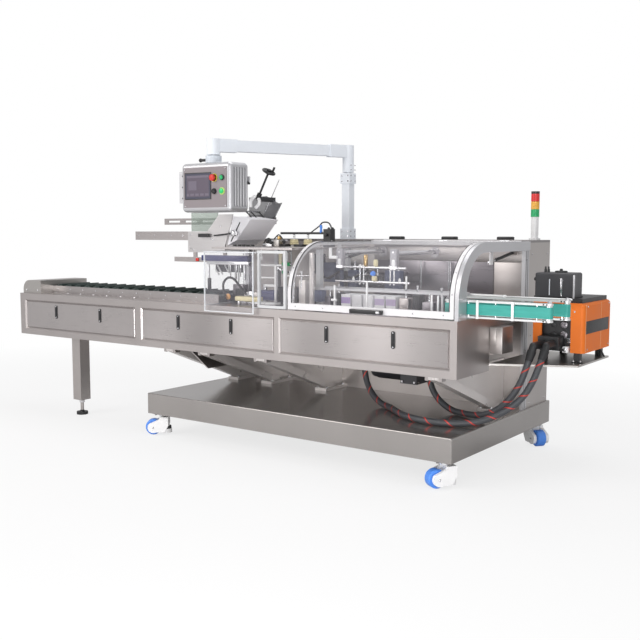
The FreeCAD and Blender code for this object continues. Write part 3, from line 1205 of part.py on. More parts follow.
def build_glue_unit():
    """Shelf, orange cover, core, deck and tank of the glue unit."""
    shelf = outline("shelf_plate", "xy", [
        ("beam_right", "beam_depth"), ("glue_right", "shelf_corner"), ("glue_right", "glue_back"),
        ("beam_right", "glue_back")], "shelf_top - shelf_thick", "shelf_thick")
    publish("glue_shelf", shelf)
    feet = []
    spots = (("glue_left + glue_foot_side", "glue_front + glue_foot_front"),
             ("glue_right - glue_foot_end", "glue_front + glue_foot_nose"),
             ("glue_left + glue_foot_side", "glue_back - glue_foot_back"),
             ("glue_right - glue_foot_end", "glue_back - glue_foot_back"))
    for index, (x, y) in enumerate(spots):
        feet.append(box(f"glue_foot_{index + 1}", (x, y, "shelf_top"),
                        (f"{x} + glue_foot_size", f"{y} + glue_foot_size", "glue_bottom")))
    core = box("core_block", ("glue_left + 2 * cover_thick", "core_front", "glue_bottom"),
               ("glue_right - 2 * cover_thick", "glue_back - cover_thick", "core_top"))
    manifold = box("manifold_block", ("manifold_left", "manifold_front", "manifold_low"),
                   ("manifold_right", "core_front", "manifold_high"))
    doc.recompute()
    solids = [core.Shape, manifold.Shape]
    for word in ("front", "rear"):
        end, heading = hose_end(word)
        radius = worth("gland_radius")
        solids.append(Part.makeCylinder(radius, worth("gland_long"), end, heading))
        knuckle = end + heading * worth("gland_long")
        solids.append(Part.makeSphere(radius, knuckle))
        reach = worth("core_front") - knuckle.y
        solids.append(Part.makeCylinder(radius, reach, knuckle, Vector(0, 1, 0)))
    item = doc.addObject("Part::Feature", "glue_core_shape")
    item.Shape = solids[0].fuse(solids[1:]).removeSplitter()
    block = box("cover_block", ("glue_left", "glue_front", "glue_bottom"),
                ("glue_right", "glue_back", "glue_top"))
    rounded = fillet("cover_round", block, "glue_bend",
                     lambda edge, middle: middle.x > worth("glue_right - cut_margin")
                     and (middle.y < worth("glue_front + cut_margin")
                          or middle.z > worth("glue_top - cut_margin")))
    hollow = box("cover_hollow",
                 ("glue_left - cut_margin", "glue_front + cover_thick", "glue_bottom - cut_margin"),
                 ("glue_right - cover_thick", "glue_back", "glue_top - cover_thick"))
    window = box("cover_window", ("window_left", "glue_front - cut_margin", "glue_bottom - cut_margin"),
                 ("window_right", "glue_front + cover_thick", "window_top"))
    notch = box("cover_notch",
                ("glue_left - cut_margin", "glue_front - cut_margin", "glue_bottom - cut_margin"),
                ("window_left", "glue_front + cover_thick", "column_bottom"))
    publish("glue_cover", cut("cover_whole", rounded, fuse("cover_inside", [hollow, window, notch])))
    lid = box("glue_deck_block", ("glue_left", "glue_front + glue_bend", "glue_top"),
              ("glue_right - glue_bend", "glue_back", "glue_deck_top"))
    publish("glue_core", group("glue_core_set", [fuse("glue_core_whole", [item] + feet), lid]))
    tank = box("tank_block", ("tank_left", "tank_front", "glue_deck_top"),
               ("tank_right", "tank_back", "tank_top"))
    publish("glue_tank", fillet("tank_round", tank, "tank_bend",
                                lambda edge, middle: middle.z > worth("glue_deck_top + cut_margin")))


def hose_route(word):
    """The points of a hose: down from the bed, over the plinth and up to the glue unit."""
    rest = worth("plinth_top + hose_radius + 1")
    first = Vector(worth(f"hose_{word}_x"), worth(f"hose_{word}_y"), worth("housing_bottom - hose_bed_gland"))
    last = Vector(*(worth(f"hose_{word}_end_{letter}") for letter in "xyz"))
    if word == "front":
        between = [(2735, 470, 449), (2790, 452, 349), (2885, 419, rest), (2992, 362, rest),
                   (3090, 270, rest), (3205, 187, rest), (3345, 150, rest), (3484, 168, rest),
                   (3598, 246, rest + 6), (3692, 336, 340), (3776, 402, 412), (3826, 436, 508),
                   (3852, 462, 604)]
    else:
        between = [(3160, 505, 449), (3217, 498, 349), (3317, 486, rest), (3424, 450, rest),
                   (3528, 410, rest + 7), (3628, 402, 334), (3706, 411, 404), (3760, 424, 494),
                   (3788, 440, 586)]
    return [first] + [Vector(*point) for point in between] + [last]


def hose_end(word):
    """The upper end of a hose and its heading there."""
    route = hose_route(word)
    return route[-1], (route[-1] - route[-2]).normalize()


def hose_line(points):
    """Straight runs joined by tangent arcs, with the smallest radius and the length."""
    edges = []
    radii = []
    here = points[0]
    for before, corner, after in zip(points, points[1:], points[2:]):
        into = (corner - before).normalize()
        out = (after - corner).normalize()
        half = math.acos(max(-1.0, min(1.0, into.dot(out)))) / 2
        run = 0.45 * min((corner - before).Length, (after - corner).Length)
        radii.append(run / math.tan(half))
        start = corner - into * run
        stop = corner + out * run
        inward = (out - into).normalize()
        crown = corner + inward * (radii[-1] / math.cos(half) - radii[-1])
        edges.append(Part.makeLine(here, start))
        edges.append(Part.Arc(start, crown, stop).toShape())
        here = stop
    edges.append(Part.makeLine(here, points[-1]))
    wire = Part.Wire(edges)
    return wire, min(radii), wire.Length


def build_hoses():
    """Two heated hoses, each a round section along its line."""
    for word in ("front", "rear"):
        route = hose_route(word)
        wire, smallest, length = hose_line(route)
        heading = (route[1] - route[0]).normalize()
        ring = Part.Wire([Part.Circle(route[0], heading, worth("hose_radius")).toShape()])
        tube = wire.makePipeShell([ring], True, False)
        item = doc.addObject("Part::Feature", f"hose_{word}_shape")
        item.Shape = tube
        publish("hose_" + word, item)
        expected = math.pi * worth("hose_radius") ** 2 * length
        print(f"hose {word}: length {length:.0f}, smallest radius {smallest:.0f}, "
              f"volume ratio {tube.Volume / expected:.4f}")


def build_light():
    """Signal light on the roof."""
    centre = ("light_x", "light_y")
    roof = "cabinet_top + roof_thick"
    tube = rod("light_tube", "z", (*centre, roof), "light_tube_radius",
               f"light_top - light_cap - 3 * lens_high - ({roof})")
    foot = rod("light_foot", "z", (*centre, roof), "light_foot_radius", "light_foot_high")
    lenses = [rod(f"lens_{index + 1}", "z", (*centre, f"light_top - light_cap - lens_high * {3 - index}"),
                  "light_radius", "lens_high - lens_gap") for index in range(3)]
    cap = rod("light_lid", "z", (*centre, "light_top - light_cap"), "light_radius", "light_cap")
    spine = rod("light_spine", "z", (*centre, roof), "light_radius / 2", f"light_top - ({roof})")
    publish("signal_light", fuse("light_whole", [tube, foot, cap, spine] + lenses))


def build_operator_panel():
    """Post, swinging arm and turning operator panel."""
    half = "post_size / 2"
    roof = "cabinet_top + roof_thick"
    centre = ("post_x", "post_y")
    tube = box("post_tube", (f"post_x - {half}", f"post_y - {half}", roof),
               (f"post_x + {half}", f"post_y + {half}", "arm_swing_z"))
    socket = box("post_socket", ("post_x - socket_size / 2", "post_y - socket_size / 2", roof),
                 ("post_x + socket_size / 2", "post_y + socket_size / 2", f"{roof} + socket_high"))
    collar = box("post_collar", ("post_x - socket_size / 2", "post_y - socket_size / 2",
                                 "arm_swing_z - socket_high"),
                 ("post_x + socket_size / 2", "post_y + socket_size / 2", "arm_swing_z"))
    pin = rod("swing_pin", "z", (*centre, "arm_swing_z"), "swing_pin_radius", "swing_pin_high")
    publish("panel_post", fuse("post_whole", [tube, socket, collar, pin]))
    doc.recompute()
    start = Vector(worth("post_x"), worth("post_y"), worth("arm_z"))
    end = Vector(worth("head_x"), worth("head_y"), worth("arm_z"))
    reach = (end - start).Length
    heading = math.degrees(math.atan2(end.y - start.y, end.x - start.x))
    wide = worth("arm_wide")
    high = worth("arm_high")
    step = worth("sleeve_step")
    cuff = worth("sleeve_long")
    arm = Part.makeBox(reach, wide - 2 * step, high - 2 * step, Vector(0, step - wide / 2, step - high / 2))
    elbows = [Part.makeBox(cuff, wide, high, Vector(0, -wide / 2, -high / 2)),
              Part.makeBox(cuff, wide, high, Vector(reach - cuff, -wide / 2, -high / 2))]
    whole = arm.fuse(elbows)
    whole.Placement = FreeCAD.Placement(start, FreeCAD.Rotation(Vector(0, 0, 1), heading))
    drop_low = worth("arm_swing_z + swing_gap")
    top = worth("arm_z + arm_high / 2")
    drop = Part.makeCylinder(worth("socket_size / 2"), top - drop_low, Vector(start.x, start.y, drop_low))
    tail_low = worth("panel_box_high + coupling_high + coupling_gap")
    tail = Part.makeCylinder(worth("tail_radius"), top - tail_low, Vector(end.x, end.y, tail_low))
    hole = Part.makeCylinder(worth("swing_pin_radius + pin_play"), worth("swing_pin_high + swing_gap"),
                             Vector(start.x, start.y, worth("arm_swing_z")))
    socket_hole = Part.makeCylinder(worth("coupling_pin + pin_play"), worth("swing_pin_high"),
                                    Vector(end.x, end.y, tail_low - worth("coupling_gap")))
    item = doc.addObject("Part::Feature", "swing_arm_shape")
    solid = whole.fuse([drop, tail]).removeSplitter().cut(hole).cut(socket_hole)
    item.Shape = solid
    publish("swing_arm", item)
    head = ("head_x", "head_y")
    ring = rod("head_ring", "z", (*head, "panel_box_high"), "head_radius", "coupling_high")
    peg = rod("head_peg", "z", (*head, "panel_box_high + coupling_high"), "coupling_pin",
              "coupling_gap + swing_pin_high / 2")
    lever = rod("lever_bar", "x", ("lever_left", "head_y", "lever_z"), "lever_radius",
                "head_x - head_radius - lever_left + lever_sink")
    publish("panel_coupling", fuse("head_whole", [ring, peg, lever]))
    block = box("operator_block", ("box_left", "box_front", "panel_box_low"),
                ("box_right", "box_back", "panel_box_high"))
    case = fillet("operator_box_round", block, "panel_box_round", lambda edge, middle: True)
    wing = box("wing_plate", ("wing_left", "wing_front", "wing_low"),
               ("box_left", "wing_front + wing_thick", "wing_high"))
    publish("operator_box", fuse("operator_case", [case, wing]))
    face = box("face_plate", ("face_left", "box_front - face_thick", "face_low"),
               ("face_right", "box_front", "face_high"))
    front = "box_front - face_thick"
    screen = box("screen_pane", ("screen_left", f"{front} - screen_thick", "screen_low"),
                 ("screen_right", front, "screen_high"))
    publish("operator_face", fuse("face_whole", [face, screen]))
    buttons = []
    for name, x, z in (("lamp", "button_right", "button_high"), ("knob", "button_left", "button_low"),
                       ("start", "button_right", "button_low")):
        buttons.append(rod(f"button_{name}", "y", (x, f"{front} - button_proud", z), "button_radius",
                           "button_proud"))
    plate = rod("stop_plate", "y", ("button_left", f"{front} - stop_plate_thick", "button_high"), "stop_ring",
                "stop_plate_thick")
    stem = rod("stop_stem", "y", ("button_left", f"{front} - stop_proud", "button_high"), "button_radius",
               "stop_proud")
    mushroom = rod("stop_head", "y", ("button_left", f"{front} - stop_proud", "button_high"), "stop_radius",
                   "stop_head_thick")
    buttons.append(fuse("stop_whole", [plate, stem, mushroom]))
    publish("operator_buttons", group("button_row", buttons))


def build_casters():
    """Four levelling casters: a housing that swivels and a wheel that spins."""
    for word, x, y in CORNERS:
        cheeks = [outline(f"cheek_{side}_{word}", "xz", [
            ("bridge_back", "bridge_low"), ("cheek_toe_u", "cheek_low"), ("cheek_front_u", "cheek_low"),
            ("cheek_nose_u", "cheek_nose_z", "cheek_radius"), ("cheek_neck_u", "cheek_neck_z"),
            ("cheek_neck_u", "housing_top"), ("bridge_back", "housing_top")],
            start, "cheek_outer - cheek_inner")
            for side, start in (("near", "-cheek_outer"), ("far", "cheek_inner"))]
        bridge = box("bridge_" + word, ("bridge_back", "-cheek_inner", "bridge_low"),
                     ("bridge_front", "cheek_inner", "housing_top"))
        neck = rod("neck_" + word, "z", ("0", "0", "housing_top"), "neck_radius",
                   "plinth_bottom - caster_plate_thick - housing_top - axle_play")
        axle = rod("axle_" + word, "y", ("caster_trail", "-cheek_outer", "wheel_radius"), "axle_radius",
                   "2 * cheek_outer")
        thumb = rod("thumb_" + word, "z", ("foot_u", "0", "foot_high"), "thumb_radius",
                    "bridge_low - foot_high")
        pad = rod("pad_" + word, "z", ("foot_u", "0", "foot_low"), "foot_radius", "foot_high - foot_low")
        solid = fuse("fork_whole_" + word, cheeks + [bridge, neck, axle, thumb, pad])
        housing = turn(group("fork_set_" + word, [solid]), "turn_" + word)
        place(housing, (x, y, "0"))
        publish(f"caster_housing_{word}", housing)
        disc = rod("wheel_disc_" + word, "y", ("caster_trail", "-wheel_wide / 2", "wheel_radius"),
                   "wheel_radius", "wheel_wide")
        tread = bevel("wheel_edge_" + word, disc, "wheel_bevel",
                      lambda edge, middle: edge.Length > 3 * worth("wheel_radius"))
        bore = rod("wheel_bore_" + word, "y", ("caster_trail", "-wheel_wide", "wheel_radius"),
                   "axle_radius + axle_play", "2 * wheel_wide")
        wheel = turn(group("wheel_set_" + word, [cut("wheel_" + word, tread, bore)]), "turn_" + word)
        place(wheel, (x, y, "0"))
        publish(f"caster_wheel_{word}", wheel)


def build_infeed():
    """End cap, bucket chain and its side plates."""
    cap = outline("cap_pad", "xz", [
        ("0", "beam_top"), ("cap_right", "beam_top"), ("cap_right", "cap_top"),
        ("cap_round", "cap_top"), ("0", "cap_top - cap_round", "cap_round")],
        "cap_front", "cap_back - cap_front")
    publish("infeed_cap", cap)
    links = outline("chain_outer", "xz", [
        ("chain_left", "chain_low"), ("chain_right", "chain_low"),
        ("chain_right", "chain_high"), ("chain_left", "chain_high")],
        "chain_front", "chain_back - chain_front")
    inner = box("chain_inner", ("chain_left + chain_thick", "chain_front", "chain_low + chain_thick"),
                ("chain_right - chain_thick", "chain_back", "chain_high - chain_thick"))
    ring = cut("chain_ring", links, inner)
    walls = []
    for index in range(int(worth("cleat_count"))):
        left = f"chain_left + cleat_pitch * {index} + cleat_pitch / 2"
        walls.append(box(f"bucket_wall_{index + 1}", (left, "chain_front", "chain_high"),
                         (f"{left} + cleat_thick", "chain_back", "chain_high + cleat_high")))
    publish("bucket_chain", fuse("chain_loop", [ring] + walls))
    plates = []
    for word, face, foot in (("front", "chain_front - rail_thick - side_gap", "-1"),
                             ("back", "chain_back + side_gap", "1")):
        plate = box(f"side_plate_{word}", ("cap_right", face, "beam_top"),
                    ("chain_right", f"{face} + rail_thick", "rail_top"))
        near = f"{face} - rail_foot" if foot == "-1" else f"{face} + rail_thick"
        flange = box(f"side_foot_{word}", ("cap_right", near, "beam_top"),
                     ("chain_right", f"{near} + rail_foot", "beam_top + rail_thick / 2"))
        plates.append(fuse(f"side_angle_{word}", [plate, flange]))
    publish("chain_side_plates", group("side_plates", plates))


def hood_profile(name, inset, bottom, start, depth):
    """The hood's side outline, moved inwards by an inset."""
    return outline(name, "yz", [
        (f"{inset}", bottom), ("hood_back", bottom), ("hood_back", f"hood_top - {inset}"),
        ("hood_radius", f"hood_top - {inset}"),
        (f"{inset}", "hood_top - hood_radius", f"hood_radius - {inset}")], start, depth)


def hood_shell(name, outer, inner, start, depth):
    """A bent strip between two insets of the hood's outline."""
    whole = hood_profile(name + "_outside", outer, "hood_bottom", start, depth)
    hollow = outline(name + "_inside", "yz", [
        (inner, "beam_bottom"), ("cabinet_back", "beam_bottom"), ("cabinet_back", f"hood_top - {inner}"),
        ("hood_radius", f"hood_top - {inner}"),
        (inner, "hood_top - hood_radius", f"hood_radius - {inner}")], start, depth)
    return cut(name, whole, hollow)


def write_out():
    """Check every object, then write each sub-part to its own file."""
    doc.recompute()
    for item in doc.Objects:
        if "Invalid" in item.State or "Error" in item.State:
            raise RuntimeError(f"{item.Name} is {item.State}")
    os.makedirs("parts", exist_ok=True)
    whole = FreeCAD.BoundBox()
    for item in published:
        if item.Shape.isNull() or not item.Shape.isValid() or not item.Shape.Solids:
            raise RuntimeError(f"{item.Label} has no valid shape")
        item.Shape.exportStep(f"parts/{item.Label}.step")
        whole.add(item.Shape.BoundBox)
        shape = item.Shape
        print(f"{item.Label:28s} solids {len(shape.Solids):3d}  volume {shape.Volume / 1e6:10.3f} l")
    print("sub-parts", len(published), "box", whole)


build_base()
build_beam()
build_supports()
build_infeed()
build_hood()
build_springs()
build_arch()
build_guards()
build_magazine()
build_inside()
build_discharge()
build_glue_unit()
build_hoses()
build_light()
build_operator_panel()
build_casters()
write_out()
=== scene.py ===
# %% [markdown]
# # Dressing a cartoning machine
# A cartoning machine folds flat blanks into boxes and fills them. Its solids come from the CAD model,
# already in metres and in place. Here each solid gets a finish that is made from nodes, and the small
# things that a solid model leaves out are added as surfaces worked out with numpy.
# The first cell loads the model and bakes each solid's place into its mesh.

# %% load the model
import math
import bmesh
import bpy
import numpy as np
from mathutils import Matrix


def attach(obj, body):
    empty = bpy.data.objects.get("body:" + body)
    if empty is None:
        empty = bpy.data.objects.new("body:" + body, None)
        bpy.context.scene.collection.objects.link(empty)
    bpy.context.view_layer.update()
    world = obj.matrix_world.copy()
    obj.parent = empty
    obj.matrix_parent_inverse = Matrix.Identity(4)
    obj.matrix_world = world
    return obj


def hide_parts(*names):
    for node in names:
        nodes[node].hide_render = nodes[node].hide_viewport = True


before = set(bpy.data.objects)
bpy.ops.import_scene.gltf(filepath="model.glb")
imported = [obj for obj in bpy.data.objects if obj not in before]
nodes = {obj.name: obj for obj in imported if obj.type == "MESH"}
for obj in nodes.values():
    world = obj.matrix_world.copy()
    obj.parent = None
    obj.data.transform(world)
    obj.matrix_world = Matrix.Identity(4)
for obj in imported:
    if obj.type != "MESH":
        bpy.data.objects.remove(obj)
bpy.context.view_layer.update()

# %% [markdown]
# The drawings of the machine count X from the infeed end of the beam, Y from its front face and Z from
# the floor, in millimetres. The model's own origin lies under the middle of the machine. One small
# function turns a place on the drawing into a place in the scene. It takes one point or a whole array.

# %% from the drawing to the scene
MIDDLE = np.array([2.035, 0.55525, 0.0])


def spot(*place):
    """Places on the drawing, in millimetres, as places in the scene in metres."""
    return np.array(place if len(place) > 1 else place[0], float) / 1000.0 - MIDDLE


print("front corner of the beam", spot(0, 0, 860))

# %% [markdown]
# The camera stands to the right of the operator's side, a little above the machine's bed, as in the
# photograph. Its place and its three directions were worked out from the edges of the beam and the
# plinth. The directions become the columns of its rotation matrix, so there are no angles to guess.

# %% camera
RIGHT = np.array([0.8083, 0.5887, 0.0])
AHEAD = np.array([-0.5859, 0.8044, -0.0985])
UP = np.cross(RIGHT, AHEAD)
lens = bpy.data.cameras.new("studio_camera")
lens.lens = 50.3
lens.sensor_width = 36.0
camera = bpy.data.objects.new("studio_camera", lens)
bpy.context.scene.collection.objects.link(camera)
pose = np.eye(4)
pose[:3, 0], pose[:3, 1], pose[:3, 2] = RIGHT, UP, -AHEAD
pose[:3, 3] = spot(5680.9, -4032.5, 1310.9)
camera.matrix_world = Matrix(pose.tolist())
bpy.context.scene.camera = camera
bpy.context.scene.view_settings.view_transform = "Standard"
print("camera at", pose[:3, 3])

# %% [markdown]
# Two heated hoses bring melted glue. Each one hangs from a gland under the bed, lies on the plinth and
# climbs to the glue unit. A hose is a curve with a round section. Its control points are those of the
# solid model, so the hose keeps its real length, and a NURBS curve rounds its bends smoothly. The bevel
# is one metre and each point scales it to the hose's radius, because the box of a curve grows by the
# radius of its points.

# %% hoses
HOSE_RADIUS = 0.018
REST = 291
ROUTES = {
    "front": [(2735, 470, 565), (2735, 470, 449), (2790, 452, 349), (2885, 419, REST), (2992, 362, REST),
              (3090, 270, REST), (3205, 187, REST), (3345, 150, REST), (3484, 168, REST), (3598, 246, REST + 6),
              (3692, 336, 340), (3776, 402, 412), (3826, 436, 508), (3852, 462, 604), (3864, 496, 672)],
    "rear": [(3160, 505, 565), (3160, 505, 449), (3217, 498, 349), (3317, 486, REST), (3424, 450, REST),
             (3528, 410, REST + 7), (3628, 402, 334), (3706, 411, 404), (3760, 424, 494), (3788, 440, 586),
             (3802, 470, 668)],
}
LENGTHS = {"front": 1.710, "rear": 1.064}


def hose(name, route):
    """A round hose along a NURBS curve through the pull of its control points."""
    line = bpy.data.curves.new(name, "CURVE")
    line.dimensions = "3D"
    line.bevel_depth = 1.0
    line.bevel_resolution = 8
    line.resolution_u = 12
    line.use_fill_caps = True
    run = line.splines.new("NURBS")
    run.points.add(len(route) - 1)
    places = np.array([np.append(spot(*point), 1.0) for point in route])
    run.points.foreach_set("co", places.ravel())
    run.points.foreach_set("radius", np.full(len(route), HOSE_RADIUS))
    run.order_u = 3
    run.use_endpoint_u = True
    piece = bpy.data.objects.new(name, line)
    bpy.context.scene.collection.objects.link(piece)
    return piece


hoses = {}
for word, route in ROUTES.items():
    hoses[word] = hose("glue_hose_" + word, route)
    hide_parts("hose_" + word)
    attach(hoses[word], "machine")
    print("hose", word, len(route), "points")

# %% [markdown]
# A finish is a small network of shader nodes. Written out node by node it would be hard to read, so two
# helpers do the plumbing. `Field` wraps an output socket and lets numbers and sockets be added and
# multiplied as in plain maths: each operation places one Math node. `Finish` makes the material and
# gives one method, `node`, for every other node.

# %% shader maths
def maths(operation, swapped=False):
    """A method that places one Math node. A swapped one puts the field last."""
    def method(self, *others):
        node = self.finish.tree.nodes.new("ShaderNodeMath")
        node.operation = operation
        for slot, value in zip(node.inputs, (*others, self) if swapped else (self, *others)):
            self.finish.feed(slot, value)
        return Field(self.finish, node.outputs[0])
    return method


class Field:
    """A value that varies over a surface: an output socket with arithmetic."""

    def __init__(self, finish, socket):
        self.finish, self.socket = finish, socket

    __add__, __radd__ = maths("ADD"), maths("ADD", swapped=True)
    __sub__, __rsub__ = maths("SUBTRACT"), maths("SUBTRACT", swapped=True)
    __mul__, __truediv__ = maths("MULTIPLY"), maths("DIVIDE")
    __gt__, __lt__ = maths("GREATER_THAN"), maths("LESS_THAN")
    wave, part, size = maths("SINE"), maths("FRACT"), maths("ABSOLUTE")
    larger, smaller = maths("MAXIMUM"), maths("MINIMUM")

    def clamp(self):
        """The value kept between 0 and 1."""
        return self.larger(0.0).smaller(1.0)


class Finish:
    """A material and the few calls that build its network."""

    def __init__(self, name):
        self.material = bpy.data.materials.new(name)
        self.material.use_nodes = True
        self.tree = self.material.node_tree
        self.tree.nodes.clear()
        self.surface = self.tree.nodes.new("ShaderNodeBsdfPrincipled")
        self.output = self.tree.nodes.new("ShaderNodeOutputMaterial")
        self.tree.links.new(self.surface.outputs[0], self.output.inputs[0])

    def feed(self, slot, value):
        """Put a number, a colour or a link into an input socket."""
        if isinstance(value, Field):
            self.tree.links.new(value.socket, slot)
        elif isinstance(value, (tuple, list)) and len(value) == 3 and slot.type == "RGBA":
            slot.default_value = (*value, 1.0)
        else:
            slot.default_value = value

    def node(self, kind, out=0, settings=None, **values):
        """Add a node: its settings first, then its sockets by name, or by number as in i0."""
        made = self.tree.nodes.new(kind)
        for name, value in (settings or {}).items():
            setattr(made, name, value)
        for name, value in values.items():
            key = int(name[1:]) if name[0] == "i" and name[1:].isdigit() else name.replace("_", " ")
            self.feed(made.inputs[key], value)
        return Field(self, made.outputs[out])

    def where(self, out="Object"):
        """The place on the surface, in metres, or its UV."""
        return self.node("ShaderNodeTexCoord", out=out)

    def axis(self, letter, place=None):
        """One of the three numbers of a place."""
        return self.node("ShaderNodeSeparateXYZ", out="XYZ".index(letter), Vector=place or self.where())

    def stretched(self, scale, place=None):
        """The place scaled along each axis, so that a pattern runs long one way."""
        return self.node("ShaderNodeMapping", Vector=place or self.where(), Scale=scale)

    def noise(self, scale, place=None, detail=3.0, roughness=0.55):
        """Soft random variation from 0 to 1."""
        return self.node("ShaderNodeTexNoise", Vector=place or self.where(), Scale=scale, Detail=detail,
                         Roughness=roughness)

    def blend(self, amount, first, second):
        """A mix of two colours."""
        return self.node("ShaderNodeMix", out=2, settings={"data_type": "RGBA"}, i0=amount, i6=first, i7=second)

    def bump(self, height, strength, distance=0.001):
        """A Bump node over a height field, fed to the surface's normal."""
        return self.set(Normal=self.node("ShaderNodeBump", Height=height, Strength=strength, Distance=distance))

    def set(self, **values):
        """Set sockets of the surface shader."""
        for name, value in values.items():
            self.feed(self.surface.inputs[name.replace("_", " ")], value)
        return self


print("helpers ready")

# %% [markdown]
# Brushed stainless steel is the machine's main skin. Real sheets show fine scratches along the rolling
# direction, slow changes in tone, and faint finger marks that dull the shine. The scratches are noise
# stretched a few hundred times along one axis. They drive roughness and a very low bump. The front
# panels also get lighter and darker along the beam, a painted reflection of the room's bright and dark places.

# %% brushed steel
# Phase and rate of the painted reflection along X, and where and how fast it fades out towards the infeed end.
REFLECTION_START, REFLECTION_RATE, REFLECTION_FADE_END, REFLECTION_FADE_RATE = 0.005, 7.17, -0.9, 2.0


def brushed(name, colour, along=(6, 420, 420), rough=0.34, metal=0.92, mark=0.1, depth=0.2, painted_reflection=0.0):
    """Sheet metal: stretched noise for scratches and slow noise for tone and finger marks. Panels get
    lighter and darker by a sine along X, a painted reflection which fades out towards the infeed end."""
    f = Finish(name)
    grain = f.noise(1.0, f.stretched(along), detail=4.0)
    slow = f.noise(1.6, detail=2.0)
    smear = f.noise(7.0, detail=4.0)
    tone = ((slow - 0.5) * 1.5 + (grain - 0.5) * 0.3 + (smear - 0.5) * 0.25 + 0.5).clamp()

    def toned(factor):
        return f.blend(tone, tuple(c * factor * (1 - depth) for c in colour),
                       tuple(c * factor for c in colour))

    look = toned(1.0)
    # A sine along X lightens and darkens the base colour: a painted reflection.
    if painted_reflection:
        x = f.axis("X")
        wave = ((x - REFLECTION_START) * REFLECTION_RATE).wave() * ((x - REFLECTION_FADE_END) * REFLECTION_FADE_RATE).clamp()
        look = f.blend(wave * 0.5 + 0.5, toned(1 - painted_reflection), toned(1 + painted_reflection))
    f.set(Base_Color=look, Metallic=metal,
          Roughness=rough + (grain - 0.5) * 0.16 + (smear - 0.5) * mark)
    f.bump(grain, 0.05, 0.0004)
    return f.material


steel = brushed("brushed_steel_lengthwise", (0.50, 0.465, 0.455))
panel_steel = brushed("panel_steel", (0.48, 0.45, 0.445), along=(5, 300, 300), rough=0.3, depth=0.16)
# The front panels carry the painted reflection along the beam.
front_steel_painted_reflection = brushed("front_panel_steel_painted_reflection", (0.48, 0.45, 0.445), along=(5, 300, 300), rough=0.3, depth=0.16,
                      painted_reflection=0.2)
steel_upright = brushed("brushed_steel_upright", (0.50, 0.47, 0.455), along=(420, 420, 6))
steel_across = brushed("brushed_steel_across", (0.50, 0.48, 0.46), along=(420, 6, 420))
rib_steel = brushed("rib_steel", (0.80, 0.76, 0.74), along=(200, 5, 5), rough=0.3, metal=0.35, mark=0.08)
wall_steel = brushed("wall_steel", (0.30, 0.28, 0.30), along=(5, 300, 300), rough=0.3)
tray_steel = brushed("tray_steel", (0.405, 0.385, 0.37), rough=0.17, metal=0.75, mark=0.12)
aluminium = brushed("drawn_aluminium", (0.62, 0.62, 0.64), rough=0.4, metal=0.75)
satin = brushed("satin_bar", (0.80, 0.81, 0.81), rough=0.36, metal=0.45)
chrome = brushed("bright_rod", (0.78, 0.78, 0.80), along=(60, 60, 60), rough=0.14, metal=1.0, mark=0.05)
print("metals", 11)

# %% [markdown]
# Painted and moulded parts share one recipe: a base colour with a slight change of tone, a fine bump
# like the orange-peel texture of a sprayed coat, and roughness that varies a little. Powder coat is
# rougher and has a coarser grain than wet paint.

# %% paint and plastic
def coated(name, colour, rough=0.4, peel=0.12, scale=900.0, metal=0.0, vary=0.12, coat=0.0):
    """A sprayed or moulded skin: slow tone, fine peel bump, uneven gloss."""
    f = Finish(name)
    slow = f.noise(5.0, detail=3.0)
    fine = f.noise(scale, detail=2.0)
    rub = f.noise(40.0, detail=4.0)
    darker = tuple(c * (1 - vary) for c in colour)
    f.set(Base_Color=f.blend((slow + (rub - 0.5) * 0.4).clamp(), darker, colour), Metallic=metal,
          Roughness=rough + (slow - 0.5) * 0.15 + (rub - 0.5) * 0.08)
    f.surface.inputs["Coat Weight"].default_value = coat
    f.bump(fine, peel, 0.0003)
    return f.material


orange = coated("orange_powder_coat", (0.84, 0.18, 0.006), rough=0.55, scale=700.0)
black = coated("black_powder_coat", (0.022, 0.022, 0.024), rough=0.45)
dark_grey = coated("dark_grey_paint", (0.050, 0.050, 0.056), rough=0.42)
white = coated("white_enamel", (0.76, 0.75, 0.76), rough=0.38, vary=0.06)
pale_blue = coated("pale_blue_powder_coat", (0.83, 0.87, 0.92), rough=0.5, scale=600.0, vary=0.06)
black_plastic = coated("black_moulding", (0.018, 0.018, 0.02), rough=0.36)
rubber_black = coated("black_rubber_sleeve", (0.02, 0.02, 0.022), rough=0.6, scale=300.0, peel=0.3)
board = coated("carton_board", (0.93, 0.92, 0.95), rough=0.7, scale=250.0, vary=0.05)
cream = coated("cream_silicone", (0.83, 0.74, 0.46), rough=0.5, vary=0.1)
blue_moulding = coated("blue_moulding", (0.09, 0.29, 0.88), rough=0.35)
white_moulding = coated("white_moulding", (0.94, 0.94, 0.94), rough=0.35, vary=0.05)
red_moulding = coated("red_moulding", (0.68, 0.03, 0.02), rough=0.32)
green_moulding = coated("green_moulding", (0.02, 0.42, 0.14), rough=0.3)
yellow_moulding = coated("yellow_moulding", (0.80, 0.60, 0.05), rough=0.4)
brass = coated("brass", (0.62, 0.42, 0.18), rough=0.28, metal=1.0)
print("coated finishes", 15)

# %% [markdown]
# The clear panels are sheets of acrylic. Looked at square on, almost all light passes; at a grazing
# angle the sheet turns into a mirror. Layer Weight gives that change, and it drives Alpha, so that the
# sheet needs no refraction to look right.

# %% clear sheet
def clear_sheet(name, colour, low, high):
    """Clear plastic: alpha grows with the square of the angle between the view and the normal."""
    f = Finish(name)
    edge = f.node("ShaderNodeLayerWeight", out=1, Blend=0.3)
    haze = f.noise(9.0, detail=3.0)
    wipe = f.noise(1.0, f.stretched((3, 40, 40)), detail=3.0)
    f.set(Base_Color=colour, Alpha=(low + edge * edge * (high - low) + (haze - 0.5) * 0.03).clamp(),
          Roughness=0.05 + haze * 0.05 + wipe * 0.05)
    f.material.surface_render_method = "BLENDED"
    return f.material


